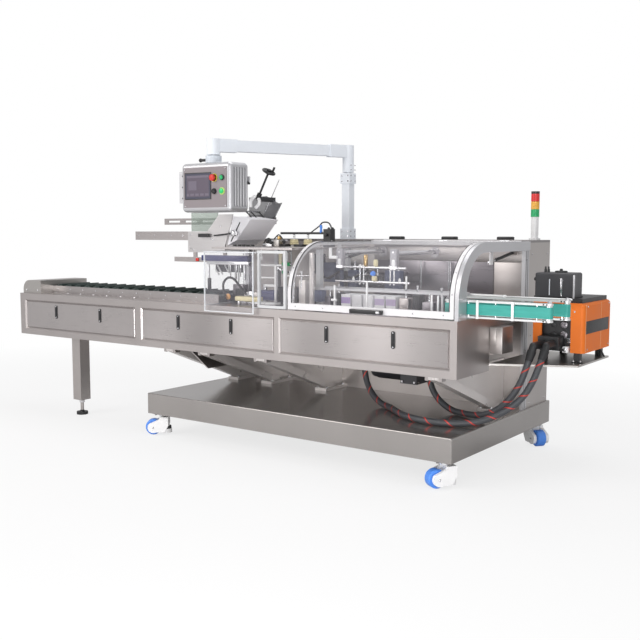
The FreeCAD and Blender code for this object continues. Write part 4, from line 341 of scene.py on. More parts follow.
def window_finish():
    """Smoked sheets, of which the one nearer the infeed is tinted green."""
    f = Finish("magazine_sheets")
    haze = f.noise(9.0, detail=3.0)
    far = f.axis("X") > -0.652
    f.set(Base_Color=f.blend(far, (0.47, 0.55, 0.49), (0.27, 0.28, 0.29)), Roughness=0.08 + haze * 0.08,
          Alpha=0.62 + far * 0.02 + (haze - 0.5) * 0.05)
    f.material.surface_render_method = "BLENDED"
    return f.material


acrylic = clear_sheet("clear_acrylic", (0.57, 0.56, 0.61), 0.06, 0.37)
smoked = clear_sheet("smoked_acrylic", (0.20, 0.20, 0.21), 0.66, 0.85)
# The edge finish is lighter and less clear than the sheet: a painted glow.
acrylic_edge_painted_glow = clear_sheet("acrylic_edge_painted_glow", (0.90, 0.93, 0.96), 0.62, 0.85)
print("clear sheets", 4)

# %% [markdown]
# The discharge belts are green timing belts. Their outside is smooth polyurethane with a fine weave
# showing through, a little darker where cartons rub along it.

# %% belt
def belt_finish():
    """Green belt: a weave of two sine waves and rubbed streaks that run along the belt."""
    f = Finish("green_belt")
    place = f.where()
    weave = (f.axis("X", place) * 2600.0).wave() * (f.axis("Z", place) * 2600.0).wave()
    rub = f.noise(14.0, f.stretched((1, 1, 9)), detail=3.0)
    f.set(Base_Color=f.blend(rub, (0.025, 0.29, 0.24), (0.055, 0.42, 0.365)), Roughness=0.5 + (rub - 0.5) * 0.2)
    f.bump(weave, 0.2, 0.0003)
    return f.material


belt = belt_finish()
print("belt ready")

# %% [markdown]
# A heated hose wears a braid of black yarn, with one red tracer that winds round it. The curve has its
# own UV map: U runs along the hose and V round it. The braid is two sets of slanting ribs, and the
# tracer is a narrow slanting band.

# %% braid
def braid_finish(name, length):
    """Black braid: two crossing spirals, with a red tracer along a slow spiral."""
    f = Finish(name)
    place = f.where("UV")
    along = f.axis("X", place) * length
    around = f.axis("Y", place)
    right = ((along * 170.0 + around * 14.0).part() - 0.5).size()
    left = ((along * 170.0 - around * 14.0).part() - 0.5).size()
    yarn = right.larger(left) * 2.0
    tracer = ((along * 9.0 - around).part() < 0.085) * (yarn > 0.2)
    base = f.blend(yarn, (0.010, 0.011, 0.013), (0.085, 0.09, 0.10))
    f.set(Base_Color=f.blend(tracer, base, (0.62, 0.05, 0.035)), Roughness=0.55 - yarn * 0.15)
    f.bump(yarn, 0.5, 0.0008)
    return f.material


for word, piece in hoses.items():
    piece.data.materials.append(braid_finish("braid_" + word, LENGTHS[word]))
print("braid ready")

# %% [markdown]
# Some nodes carry two or three finishes: the signal light has coloured lenses above a white tube, and
# a steel plate has a black handle on it. Their solids are one piece, so the finish asks where on the
# piece it is. `within` gives 1 inside a box on the drawing, and `placed` paints such boxes one after
# the other over a ground colour.

# %% finishes by place
def within(f, place, low, high):
    """1 inside a box between two corners on the drawing: the product of the sides' tests."""
    mask = None
    for letter, least, most in zip("XYZ", spot(low), spot(high)):
        value = f.axis(letter, place)
        for test in ((value > float(least)), (value < float(most))):
            mask = test if mask is None else mask * test
    return mask


def placed(name, ground, spots, rough=0.4, metal=0.0, grain=(6, 420, 420)):
    """A ground finish with other finishes in boxes: (low, high, colour, roughness, metallic)."""
    f = Finish(name)
    place = f.where()
    fine = f.noise(1.0, f.stretched(grain, place), detail=4.0)
    slow = f.noise(2.0, place, detail=3.0)
    tone = ((slow - 0.5) + (fine - 0.5) * 0.4 + 0.5).clamp()
    colour = f.blend(tone, tuple(c * 0.82 for c in ground), ground)
    shine, metallic = rough, metal
    for low, high, paint, paint_rough, paint_metal in spots:
        mask = within(f, place, low, high)
        colour = f.blend(mask, colour, f.blend(tone, tuple(c * 0.85 for c in paint), paint))
        shine = mask * paint_rough + (1.0 - mask) * shine
        metallic = mask * paint_metal + (1.0 - mask) * metallic
    f.set(Base_Color=colour, Roughness=shine + (fine - 0.5) * 0.12, Metallic=metallic)
    f.bump(fine, 0.08, 0.0004)
    return f.material


def light_finish():
    """Signal light: white tube, then green, amber and red lenses with ribs."""
    f = Finish("signal_light")
    level = f.axis("Z")
    top, lens = 1.536, 0.046
    colour = f.blend(level > top - 3 * lens, (0.80, 0.80, 0.80), (0.02, 0.40, 0.14))
    colour = f.blend(level > top - 2 * lens, colour, (0.80, 0.42, 0.06))
    colour = f.blend(level > top - lens, colour, (0.70, 0.03, 0.03))
    colour = f.blend(level > top - 0.0005, colour, (0.03, 0.03, 0.03))
    f.set(Base_Color=colour, Roughness=0.22 + f.noise(30.0) * 0.1)
    f.bump((level * 900.0).wave(), 0.15, 0.0006)
    return f.material


def plate_finish():
    """Operator's front plate: grey paint with a dark screen whose picture is plain fields."""
    f = Finish("operator_plate")
    place = f.where()
    glass = within(f, place, (1665, -200, 1513), (1877, 300, 1668))
    picture = within(f, place, (1677, -200, 1525), (1865, 300, 1656))
    title = within(f, place, (1677, -200, 1642), (1865, 300, 1656))
    gauge = within(f, place, (1692, -200, 1566), (1760, 300, 1622))
    keys = (((f.axis("X", place) * 24.0).part() - 0.5).size() < 0.36) * within(
        f, place, (1677, -200, 1531), (1865, 300, 1545))
    grain = f.noise(500.0)
    colour = f.blend(glass, (0.25, 0.22, 0.23), (0.07, 0.07, 0.10))
    colour = f.blend(picture, colour, (0.115, 0.095, 0.125))
    colour = f.blend((title + gauge + keys).clamp(), colour, (0.16, 0.14, 0.18))
    f.set(Base_Color=colour, Roughness=0.45 - glass * 0.25 + (grain - 0.5) * 0.1)
    f.bump(grain, 0.06, 0.0003)
    return f.material


print("placed finishes ready")

# %% [markdown]
# Now every node gets its finish. Most wear one of the finishes above. A few carry small parts of
# another colour, such as the black fittings on the roof, and wear a placed finish.

# %% dress the nodes
BLACK = (0.02, 0.02, 0.022)
chain_dark = coated("chain_links", (0.035, 0.055, 0.05), rough=0.4, vary=0.35, scale=120.0, peel=0.4)
roof = placed("cabinet_roof", (0.27, 0.255, 0.255),
              [((1400, 1100, 1260.5), (3605, 1300, 1300), BLACK, 0.4, 0.0)], metal=0.9, rough=0.32)
magazine = placed("magazine_plates", (0.66, 0.64, 0.64),
                  [((1480, 320, 1270), (1600, 351.5, 1300), BLACK, 0.4, 0.0)], metal=0.85, rough=0.3)
buttons = placed("operator_buttons", (0.02, 0.30, 0.10), [
    ((1880, -10, 1600), (1940, 40.5, 1680), (0.62, 0.03, 0.025), 0.3, 0.0),
    ((1880, 40.5, 1600), (1940, 60, 1680), (0.80, 0.58, 0.05), 0.4, 0.0),
    ((1880, -10, 1530), (1940, 60, 1599), BLACK, 0.35, 0.0)], rough=0.3, grain=(60, 60, 60))
coupling = placed("panel_coupling", (0.68, 0.73, 0.79), [
    ((1700, 60, 1740), (1768.5, 230, 1775), BLACK, 0.35, 0.0)], rough=0.5, grain=(600, 600, 600))
pressing = placed("hold_down_bars", (0.80, 0.80, 0.82), [
    ((2500, 380, 1110), (3200, 415, 1225), (0.42, 0.41, 0.44), 0.3, 0.2),
    ((2500, 840, 1092), (3200, 900, 1225), (0.44, 0.42, 0.44), 0.3, 0.8)], rough=0.2, metal=0.8)
suction = placed("suction_bar", BLACK, [((2100, 440, 1230), (2350, 560, 1262), (0.83, 0.74, 0.46), 0.5, 0.0),
                                        ((2100, 440, 1262), (2350, 560, 1290), (0.7, 0.7, 0.7), 0.25, 1.0)])
row = placed("carton_row", (0.84, 0.84, 0.86), [
    ((2700, 200, 898), (2815, 216.5, 934), (0.44, 0.33, 0.60), 0.6, 0.0),
    ((2955, 200, 898), (3130, 216.5, 934), (0.56, 0.47, 0.66), 0.6, 0.0)], rough=0.6, grain=(200, 200, 200))
rails = placed("magazine_rails", (0.50, 0.465, 0.46),
               [((1856, 480, 1405), (1908, 670, 1575), BLACK, 0.4, 0.0)], metal=0.9, rough=0.32)
leg = placed("infeed_leg", (0.50, 0.47, 0.455), [((470, 20, -1), (620, 180, 21.5), BLACK, 0.5, 0.0)],
             metal=0.92, rough=0.34, grain=(420, 420, 6))
frames = placed("guard_frames", (0.62, 0.62, 0.64),
                [((2280, -10, 860), (2500, 700, 1203), (0.66, 0.67, 0.68), 0.4, 0.0)], rough=0.38, metal=0.75)

WEARS = [
    (steel, ["infeed_beam", "front_beam", "machine_bed", "support_brackets"]),
    (front_steel_painted_reflection, ["access_panels"]),
    (panel_steel, ["chain_side_plates", "upper_deck"]),
    (steel_upright, ["rear_cabinet", "rear_doors", "spring_mounts"]),
    (rib_steel, ["support_ribs"]),
    (chrome, ["spring_rods"]),
    (tray_steel, ["plinth"]),
    (aluminium, ["corner_strip", "carton_rails", "operator_box", "end_arch"]),
    (satin, ["discharge_bars"]),
    (steel_across, ["infeed_cap", "glue_shelf"]),
    (white, ["hood_frame"]),
    (acrylic, ["hood_glazing", "guard_box"]),
    (window_finish(), ["magazine_windows"]),
    (black_plastic, ["panel_latches", "hood_handle", "handwheel"]),
    (black, ["spring_cylinders", "glue_core"]),
    (dark_grey, ["glue_tank", "drive_motor"]),
    (orange, ["glue_cover"]),
    (pale_blue, ["panel_post", "swing_arm"]),
    (belt, ["discharge_belts"]),
    (board, ["carton_stack"]),
    (chain_dark, ["bucket_chain"]),
    (roof, ["cabinet_roof"]), (magazine, ["magazine_plates"]), (buttons, ["operator_buttons"]),
    (coupling, ["panel_coupling"]), (pressing, ["hold_down_bars"]), (suction, ["suction_bar"]),
    (leg, ["infeed_leg"]), (rails, ["magazine_rails"]), (row, ["carton_row"]), (frames, ["guard_frames"]),
    (light_finish(), ["signal_light"]),
    (plate_finish(), ["operator_face"]),
    (blue_moulding, [name for name in nodes if name.startswith("caster_wheel")]),
    (white_moulding, [name for name in nodes if name.startswith("caster_housing")]),
]
dressed = set()
for material, names in WEARS:
    for name in names:
        slots = nodes[name].data.materials
        if len(slots) == 0:
            slots.append(material)
        for index in range(len(slots)):
            slots[index] = material
        dressed.add(name)
bare = sorted(set(nodes) - dressed - {"hose_front", "hose_rear"})
print("dressed", len(dressed), "bare", bare)

# %% [markdown]
# The small pieces are all made one way. A surface is a grid of points: each row is a ring, and the rows
# follow one another along the piece. A turned part, such as a screw, spins a profile round an axis. A
# plate shrinks its outline a little at both faces, which rounds its edges. A pipe carries a circle along
# a path. Each is one formula over whole arrays. Rounded edges matter most, because a real edge always
# catches a thin line of light.

# %% surfaces from formulas
def unit(v):
    """A vector of length one: v / |v|."""
    v = np.asarray(v, float)
    return v / np.linalg.norm(v, axis=-1, keepdims=True)


def square_to(axis):
    """Two directions square to an axis and to each other."""
    side = unit(np.cross(axis, (0, 0, 1) if abs(unit(axis)[2]) < 0.9 else (1, 0, 0)))
    return side, np.cross(unit(axis), side)


def turned(base, axis, profile, sides=20):
    """Lathe work: base + h(t) * axis + r(t) * (cos a * side + sin a * up). Both ends close on the axis."""
    last = [] if profile[-1][1] == 0 else [(profile[-1][0], 0)]
    h, r = np.array([(profile[0][0], 0), *profile, *last], float).T[:, :, None, None]
    side, up = square_to(axis)
    a = np.linspace(0, 2 * math.pi, sides, endpoint=False)[:, None]
    return np.asarray(base, float) + h * unit(axis) + r * (np.cos(a) * side + np.sin(a) * up)


def rounded(width, height, radius, steps=4):
    """Outline of a rounded rectangle: a quarter circle round each corner's centre."""
    a = (np.arange(4) * math.pi / 2)[:, None] + np.linspace(0, math.pi / 2, steps)
    across = (width / 2 - radius) * np.array([1, -1, -1, 1])[:, None] + radius * np.cos(a)
    rise = (height / 2 - radius) * np.array([1, 1, -1, -1])[:, None] + radius * np.sin(a)
    return np.stack([across, rise], -1).reshape(-1, 2)


def slab(outline, thick, edge, origin, side, up, steps=3):
    """A plate: the outline moves in by e*(1 - sin b) while it rises by e*(1 - cos b) at each face."""
    outline = np.asarray(outline, float)
    b = np.linspace(0, math.pi / 2, steps)
    inset = edge * (1 - np.sin(b))
    rise = edge * (1 - np.cos(b))
    run = np.roll(outline, -1, 0) - np.roll(outline, 1, 0)
    out = unit(np.stack([run[:, 1], -run[:, 0]], -1))
    flat = outline - np.concatenate([inset, inset[::-1]])[:, None, None] * out
    pole = np.broadcast_to(outline.mean(0), (1, *outline.shape))
    flat = np.concatenate([pole, flat, pole])
    height = np.concatenate([[0], rise, thick - rise[::-1], [thick]])[:, None, None]
    side, up = unit(side), unit(up)
    return np.asarray(origin, float) + flat[..., :1] * side + flat[..., 1:] * up + height * np.cross(side, up)


def block(box, edge):
    """A box with rounded edges, from six numbers: its low corner and its high corner."""
    low, high = np.array(box[:3], float), np.array(box[3:], float)
    wide, deep, tall = high - low
    base = [*(low + high)[:2] / 2, low[2]]
    return slab(rounded(wide, deep, edge), tall, edge * 0.95, base, (1, 0, 0), (0, 1, 0))


def smooth_path(*points, steps=8):
    """A path through points: cubic pieces, with the slope at each from its two neighbours."""
    p = np.asarray(points, float)
    p = np.vstack([2 * p[0] - p[1], p, 2 * p[-1] - p[-2]])
    a, b, c, d = p[:-3], p[1:-2], p[2:-1], p[3:]
    t = np.linspace(0, 1, steps, endpoint=False)[:, None, None]
    run = b + 0.5 * ((c - a) * t + (2 * a - 5 * b + 4 * c - d) * t**2 + (3 * b - a - 3 * c + d) * t**3)
    return np.vstack([run.transpose(1, 0, 2).reshape(-1, 3), p[-2:-1]])


def tube(path, radius, sides=12):
    """A round bar along a path: C(s) + r * (cos a * side(s) + sin a * up(s)), with a pole at each end."""
    path = np.asarray(path, float)
    ahead = unit(np.gradient(path, axis=0))
    side = unit(np.cross(ahead, np.eye(3)[np.abs(ahead).max(0).argmin()]))
    a = np.linspace(0, 2 * math.pi, sides, endpoint=False)[:, None]
    skin = path[:, None] + radius * (np.cos(a) * side[:, None] + np.sin(a) * np.cross(ahead, side)[:, None])
    ends = np.broadcast_to(path[[0, -1], None], (2, sides, 3))
    return np.concatenate([ends[:1], skin, ends[1:]])


BACK, FRONT, SKY, DOWN, EAST, WEST = (0, 1, 0), (0, -1, 0), (0, 0, 1), (0, 0, -1), (1, 0, 0), (-1, 0, 0)
# A socket screw has a low round head with a hollow. A hexagon nut shows the end of its thread.
SCREW = np.array([(0, 1), (0.35, 1), (0.55, 0.75), (0.55, 0.42), (0.25, 0.38)])
NUT = np.array([(0, 1), (0.75, 1), (0.9, 0.84), (0.9, 0.5), (1.25, 0.5), (1.35, 0.4)])
SHARP = math.radians(35)


class Shop:
    """Grids of points gathered for one mesh. Millimetres on the drawing go in, metres come out."""

    def __init__(self):
        self.points, self.quads, self.tags, self.finishes, self.count = [], [], [], [], 0

    def add(self, finish, *grids):
        """Add grids whose columns close round. A row of equal points becomes one pole."""
        if finish not in self.finishes:
            self.finishes.append(finish)
        for grid in grids:
            rows, columns = grid.shape[:2]
            index = np.arange(rows * columns).reshape(rows, columns) + self.count
            pole = np.ptp(grid, axis=1).max(-1) < 1e-6
            index[pole] = index[pole][:, :1]
            after = np.roll(index, -1, 1)
            quads = np.stack([index[:-1], index[1:], after[1:], after[:-1]], -1).reshape(-1, 4)
            self.points.append(grid.reshape(-1, 3))
            self.quads.append(quads)
            self.tags.append(np.full(len(quads), self.finishes.index(finish)))
            self.count += rows * columns

    def blocks(self, finish, edge, *boxes):
        """Boxes with rounded edges."""
        self.add(finish, *(block(box, edge) for box in boxes))

    def turns(self, finish, axis, sides, profile, *bases):
        """The same turned part at each base."""
        self.add(finish, *(turned(base, axis, profile, sides) for base in bases))

    def screws(self, axis, radius, *bases, finish=chrome):
        self.turns(finish, axis, 10, SCREW * radius, *bases)

    def nuts(self, axis, radius, *bases, finish=chrome):
        self.turns(finish, axis, 6, NUT * radius, *bases)

    def deliver(self, name, body):
        """Make the object: triangles at the poles, faces turned outward, sharp angles kept sharp."""
        quads, tags = np.concatenate(self.quads), np.concatenate(self.tags)
        keep = np.ones(quads.shape, bool)
        keep[quads[:, 0] == quads[:, 3], 3] = False
        keep[quads[:, 1] == quads[:, 2], 2] = False
        used, corners = np.unique(quads[keep], return_inverse=True)
        mesh = bpy.data.meshes.new(name)
        mesh.vertices.add(len(used))
        mesh.vertices.foreach_set("co", spot(np.concatenate(self.points)[used]).ravel())
        mesh.loops.add(len(corners))
        mesh.loops.foreach_set("vertex_index", corners.ravel().astype(np.int32))
        mesh.polygons.add(len(quads))
        starts = np.concatenate([[0], np.cumsum(keep.sum(1))[:-1]])
        mesh.polygons.foreach_set("loop_start", starts.astype(np.int32))
        mesh.polygons.foreach_set("material_index", tags.astype(np.int32))
        for finish in self.finishes:
            mesh.materials.append(finish)
        mesh.update(calc_edges=True)
        work = bmesh.new()
        work.from_mesh(mesh)
        bmesh.ops.recalc_face_normals(work, faces=work.faces)
        work.to_mesh(mesh)
        work.free()
        mesh.shade_smooth()
        mesh.set_sharp_from_angle(angle=SHARP)
        piece = bpy.data.objects.new(name, mesh)
        bpy.context.scene.collection.objects.link(piece)
        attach(piece, body)
        print(name, len(quads), "faces")


print("shapes ready")

# %% [markdown]
# The front of the beam carries six slot latches, each with a tongue and two small screws. The chain's
# side plates are bolted down, and the infeed leg stands on a screw with a lock nut. A screw is a turned
# part: seven points of its profile, spun ten times round, are enough at this size. NumPy makes the row
# of places, and one short loop puts a screw at each.

# %% beam and infeed
beam = Shop()
for middle in (409, 878, 1626, 2072, 2784, 3221):
    beam.add(black_plastic, slab(rounded(11, 58, 5.4), 3.2, 1.2, (middle, 1.2, 737.5), EAST, SKY))
    beam.screws(FRONT, 4.5, (middle, 1, 699), (middle, 1, 776))
for x in np.arange(260, 1840, 140):
    beam.screws(SKY, 6, (x, 117, 864), (x, 463, 864))
    beam.screws(FRONT, 5, (x, 139, 892))
    beam.screws(BACK, 5, (x, 441, 892))
beam.screws(FRONT, 6, (38, 30, 882), (168, 30, 882))
beam.screws(BACK, 6, (38, 450, 882), (168, 450, 882))
beam.nuts(SKY, 20, (545.5, 102.5, 86))
beam.turns(black_plastic, SKY, 20, [(0, 22), (5, 20), (9, 13.5), (12, 13)], (545.5, 102.5, 20))
beam.deliver("beam_fixings", "machine")

# %% [markdown]
# The bucket chain is a row of moulded buckets. The solid model has the loop and the bucket walls. Each
# bucket also has a raised floor, two cheeks at its ends and a pair of lugs, which break up the dark
# surface when it is seen along the beam.

# %% bucket chain
PITCH = 101
chain = Shop()
for left in 260.5 + PITCH * np.arange(16):
    chain.blocks(chain_dark, 3, (left + 12, 168, 903, left + 50, 412, 910),
                 (left + 54, 168, 903, left + 95, 412, 910))
    chain.blocks(chain_dark, 2.5, (left - 1.5, 149, 905, left + 7.5, 431, 929))
    for y in (152, 420):
        chain.blocks(chain_dark, 2.5, (left + 6, y, 902, left + 34, y + 8, 921),
                     (left - 28, y, 902, left + 1, y + 8, 921))
chain.deliver("bucket_floors", "machine")

# %% [markdown]
# The magazine leans over the machine and drops one flat blank at a time. Three bent hooks hold the
# stack back. A clamp sets the width, a bent pipe feeds air, and two bellows cups pull the blanks down.
# Bent rods are made as a circle carried along a smooth path through a few points.

# %% magazine
stack = Shop()
stack.add(chrome, tube([(1772, 490, 1443), (1772, 652, 1443)], 6),
          tube([(1826, 640, 1446), (1944, 640, 1652)], 3.2, 10), tube([(2040, 410, 1252), (2040, 600, 1252)], 6))
for y in (500, 549, 628):
    bend = smooth_path((1775, y, 1441), (1800, y, 1422), (1822, y, 1400), (1835, y, 1389), (1831, y, 1381))
    stack.add(black, tube(bend, 4.5, 10))
    stack.turns(black, (-0.3, 0, -1), 12, [(0, 6.5), (4, 8), (9, 7), (11, 0)], (1831, y, 1387))
stack.add(white_moulding, tube(smooth_path((1815, 500, 1470), (1818, 500, 1512), (1851, 500, 1540),
                                           (1886, 500, 1520), (1884, 500, 1488), (1858, 500, 1466)), 11, 14))
for x, z in ((1679, 1346), (1596, 1262), (1616, 1254), (1410, 1290), (1410, 1200), (1690, 1200), (1430, 1190)):
    stack.screws(FRONT, 5.5, (x, 352, z))
    stack.screws(BACK, 5.5, (x, 656, z))
stack.screws(FRONT, 5, *((x, 352, 1283) for x in (900, 1060, 1220, 1331)))
stack.blocks(red_moulding, 3, (1456, 345, 1112, 1482, 352.5, 1134))
cover = np.array([(1681, 1540), (1834, 1546), (1957, 1487), (1879, 1392), (1681, 1392)])
stack.add(smoked, slab(cover - (1800, 1470), 3, 1, (1800, 643, 1470), EAST, SKY))
stack.turns(chrome, FRONT, 16, [(0, 20), (8, 22), (14, 19), (20, 19), (24, 12), (26, 0)], (1806, 350, 1300))
stack.blocks(chrome, 5, (1782, 335, 1286, 1832, 350, 1312))
tilt = unit((87, 0, 136))
stack.add(black, tube([(1634, 338, 1284), (1700, 338, 1290), (1800, 338, 1300)], 5),
          slab(rounded(7, 150, 3.2), 3, 1, (1801, 360, 1308), np.cross(tilt, BACK), tilt))
stack.blocks(black, 3, *((x, 356, 1216, x + 24, 372, 1227) for x in range(1782, 1960, 37)))
stack.blocks(chrome, 3, (1985, 415, 1216, 2060, 475, 1234))
stack.blocks(steel_across, 3, (2078, 410, 1216, 2122, 460, 1260))
stack.blocks(black, 3, (2000, 430, 1234, 2030, 470, 1260), (2128, 430, 1216, 2158, 490, 1232),
             (2215, 440, 1216, 2285, 500, 1230))
stack.blocks(brass, 3, (2096, 425, 1260, 2116, 447, 1282))
KNOB = np.array([(0, 1), (0.4, 1), (0.5, 0.8), (0.5, 0.3), (0.9, 0.3)])
for x, y, z, r in ((2040, 412, 1252, 19), (2064, 405, 1240, 12), (2150, 430, 1246, 13)):
    stack.turns(black, FRONT, 16, KNOB * r, (x, y, z))
stack.add(black, tube(smooth_path((2075, 420, 1262), (2110, 425, 1290), (2140, 430, 1262)), 4, 8),
          tube(smooth_path((1990, 420, 1236), (2025, 415, 1262), (2070, 412, 1240)), 4, 8),
          tube(smooth_path((2287, 500, 1290), (2332, 500, 1318), (2376, 500, 1345)), 4, 10),
          tube(smooth_path((2378, 500, 1346), (2400, 500, 1366), (2440, 500, 1366), (2462, 500, 1345),
                           (2474, 500, 1306)), 4.5, 10))
BELLOWS = [(0, 27), (5, 30), (11, 26), (17, 29), (22, 25), (28, 27), (33, 22), (34, 0)]
stack.turns(cream, SKY, 24, BELLOWS, (2176, 500, 1228), (2286, 500, 1228))
stack.turns(blue_moulding, SKY, 14, [(0, 9), (14, 9), (16, 7), (30, 7), (32, 9), (48, 8), (50, 0)],
            (2388, 500, 1302))
for y in (480, 520):
    stack.nuts(SKY, 9, (2462, y, 1325), finish=black)
    stack.turns(black, FRONT, 12, [(0, 10), (10, 10), (14, 6)], (2450, y - 8, 1290))
stack.deliver("magazine_fittings", "machine")

# %% [markdown]
# A clear box guards the place where cartons open. Cut edges of acrylic glow, because light runs along
# inside the sheet and leaves at the edge. That glow is painted: the edges are bars of a brighter, less clear
# finish.
# Behind the sheet stand the opening rods, a sensor, a guide block and a cable in its black hose.

# %% guard box
edges = Shop()
edges.blocks(acrylic_edge_painted_glow, 2.8, (1884, -30, 824, 1892, -20, 1192), (2271, -30, 824, 2279, -20, 1192),
             (1884, -30, 824, 2279, -21, 831), (1884, -30, 1185, 2279, -20, 1192),
             (1884, -28, 1185, 1892, 345, 1192), (2271, -28, 1185, 2279, 345, 1192),
             (1884, 338, 862, 1891, 345, 1190), (2272, 338, 862, 2279, 345, 1190),
             (1884, -24, 861, 1891, 343, 867), (2272, -24, 861, 2279, 343, 867))
edges.deliver("guard_edges", "machine")

BED = 860
deep_blue = coated("deep_blue", (0.03, 0.035, 0.14))
amber_cap = coated("amber_cap", (0.86, 0.42, 0.12))
opening = Shop()
opening.blocks(deep_blue, 4, (1560, 292, 1120, 1960, 350, 1156), (2130, 195, 890, 2252, 230, 926))
opening.blocks(deep_blue, 5, (2118, 216, 888, 2238, 290, 950))
opening.blocks(chrome, 2, (1862, 206, BED, 1882, 220, 892), (2012, 134, BED, 2028, 156, 886),
               (2168, 134, BED, 2184, 156, 886))
opening.blocks(chrome, 3, (1600, 300, 1096, 1960, 340, 1121))
opening.blocks(chrome, 4, (1980, 180, BED, 2240, 330, 880), (2330, 220, BED, 2390, 270, 980))
opening.blocks(black, 3, (1604, 302, 930, 1626, 318, 1006), (2260, 225, 872, 2268, 320, 975))
opening.blocks(black, 4, (2350, 330, BED, 2460, 380, 950))
opening.blocks(black, 5, (1905, 236, BED, 1990, 252, 952))
opening.blocks(dark_grey, 3, (1632, 351, 1046, 1884, 361, 1121))
opening.blocks(wall_steel, 3, (1880, 361, 903, 1948, 369, 1160))
opening.blocks(wall_steel, 5, (1872, 250, BED, 1960, 300, 976))
opening.blocks(cream, 3, (2211, 296, 1104, 2233, 308, 1189))
opening.blocks(cream, 7, (2000, 122, 884, 2195, 168, 913))
opening.blocks(rib_steel, 4, (2410, 240, BED, 2460, 290, 1020))
opening.blocks(rib_steel, 5, (2010, 200, 880, 2120, 300, 935))
opening.blocks(white_moulding, 3, (2258, 193, BED, 2272, 207, 1110), (2186, 90, 874, 2344, 150, 888),
               (2247, 316, 1126, 2266, 326, 1184))
opening.blocks(white_moulding, 4, (2160, 214, 972, 2244, 232, 988))
for x, low, r in ((1802, 1019, 4), (1852, 1002, 4), (1886, 1021, 4), (1922, 1000, 8), (1613, 1004, 6)):
    opening.turns(chrome, DOWN, 12, [(0, r), (1119 - low, r), (1122 - low, r * 0.6)], (x, 310, 1122))
for x, low in ((1764, 1040), (1819, 985), (1846, 980)):
    opening.turns(satin, DOWN, 12, [(0, 5), (1120 - low, 5), (1124 - low, 3)], (x, 338, 1124))
for left, top, right, low in ((1656, 1092, 1699, 1031), (1715, 1103, 1751, 1048), (1640, 1060, 1668, 1028)):
    opening.add(satin, tube([(left, 345, top), (right, 345, low)], 5.5, 10))
opening.add(black, tube(smooth_path((1858, 200, 905), (1838, 200, 945), (1842, 200, 990), (1880, 200, 1020),
                                    (1925, 200, 1014), (1965, 200, 980), (2030, 200, 920)), 7.5, 12))
opening.turns(black, FRONT, 24, [(0, 25), (8, 25), (10, 22)], (1874, 214, 897))
opening.turns(amber_cap, FRONT, 24, [(0, 19), (5, 19), (9, 14), (10, 0)], (1876, 204, 900))
opening.turns(chrome, FRONT, 20, [(0, 26), (6, 26), (9, 20), (9, 8), (16, 8)], (2065, 198, 915))
opening.turns(chrome, SKY, 18, [(0, 20), (40, 20), (44, 12), (90, 12), (92, 16), (104, 16)], (2150, 240, 880))
opening.add(white_moulding, tube([(2121, 200, 1106), (2215, 200, 1106), (2309, 200, 1108)], 6),
            tube([(2143, 200, 1030), (2205, 200, 1030), (2270, 200, 1031)], 5))
opening.add(chrome, tube([(2300, 235, 1040), (2390, 235, 1044), (2500, 235, 1050)], 5))
for z, end in ((1111, 2298), (1061, 2270)):
    opening.blocks(green_moulding, 6, (2236, 290, z - 11, end, 314, z + 11))
    opening.turns(chrome, EAST, 14, [(0, 7), (10, 7), (12, 5)], (end, 302, z))
opening.turns(chrome, FRONT, 14, [(0, 9), (6, 9), (8, 6), (18, 6)], (2205, 296, 1078), (2222, 296, 1086),
              (2238, 296, 1078))
opening.turns(white_moulding, DOWN, 12, [(0, 7), (150, 7), (152, 5)], (2258, 300, 1204))
opening.turns(white_moulding, SKY, 12, [(0, 8), (20, 9), (26, 5), (64, 5)], (2195, 150, 1140))
opening.turns(chrome, SKY, 12, [(0, 6), (90, 6), (92, 9), (104, 9)], (2345, 244, 970), (2375, 244, 970),
              (2430, 244, 970))
opening.deliver("opening_parts", "machine")

# %% [markdown]
# Behind the hood the cabinet's wall has a folded ledge above a darker panel. In front of it stand posts,
# a pair of cylinders, a blue valve and the screws of the hold-down bars. Nothing here touches the hood.

# %% inside the hood
blue_grey = coated("blue_grey_box", (0.10, 0.12, 0.20))
inside = Shop()
inside.blocks(steel, 3, (2540, 880, 1131, 3560, 889.8, 1222))
inside.blocks(steel, 2, (3382, 885, 863, 3578, 889.8, 1129))
inside.blocks(steel, 4, (3118, 230, BED, 3178, 300, 942))
inside.blocks(wall_steel, 2, (2540, 884, 863, 3378, 889.8, 1129))
inside.blocks(wall_steel, 4, (3262, 235, BED, 3332, 305, 926), (2600, 230, BED, 2650, 310, 930))
inside.blocks(wall_steel, 6, (2600, 700, 1046, 2880, 740, 1066))
inside.blocks(blue_grey, 6, (2430, 640, 960, 2560, 700, 1068), (2760, 650, 960, 2870, 700, 1072),
              (2262, 700, 985, 2352, 760, 1110))
inside.blocks(blue_grey, 4, (2548, 196, 900, 2612, 245, 966))
inside.blocks(dark_grey, 6, (2580, 660, 940, 2740, 720, 1040), (2150, 700, 1040, 2240, 760, 1165))
inside.blocks(black, 4, (3196, 240, BED, 3242, 300, 964), (3350, 240, BED, 3380, 300, 956),
              (2668, 240, BED, 2708, 310, 952))
inside.blocks(white_moulding, 4, (2594, 292, 1165, 2612, 306, 1215), (2594, 292, 1150, 2650, 306, 1168),
              (2594, 384, 1110, 2618, 396, 1150), (2973, 384, 1110, 2997, 396, 1150))
inside.blocks(white_moulding, 5, (2752, 90, 918, 2790, 104, 932))
inside.blocks(cream, 3, (2838, 384, 1022, 2866, 404, 1050))
inside.blocks(rib_steel, 3, (2556, 150, BED, 2580, 172, 1188))
inside.turns(chrome, SKY, 14, [(0, 10), (14, 10), (16, 6), (46, 6), (48, 9), (56, 9)],
             *((x, 670, z) for x, z in ((2470, 1068), (2530, 1068), (2610, 1040), (2700, 1040), (2800, 1072),
                                        (2850, 1072))))
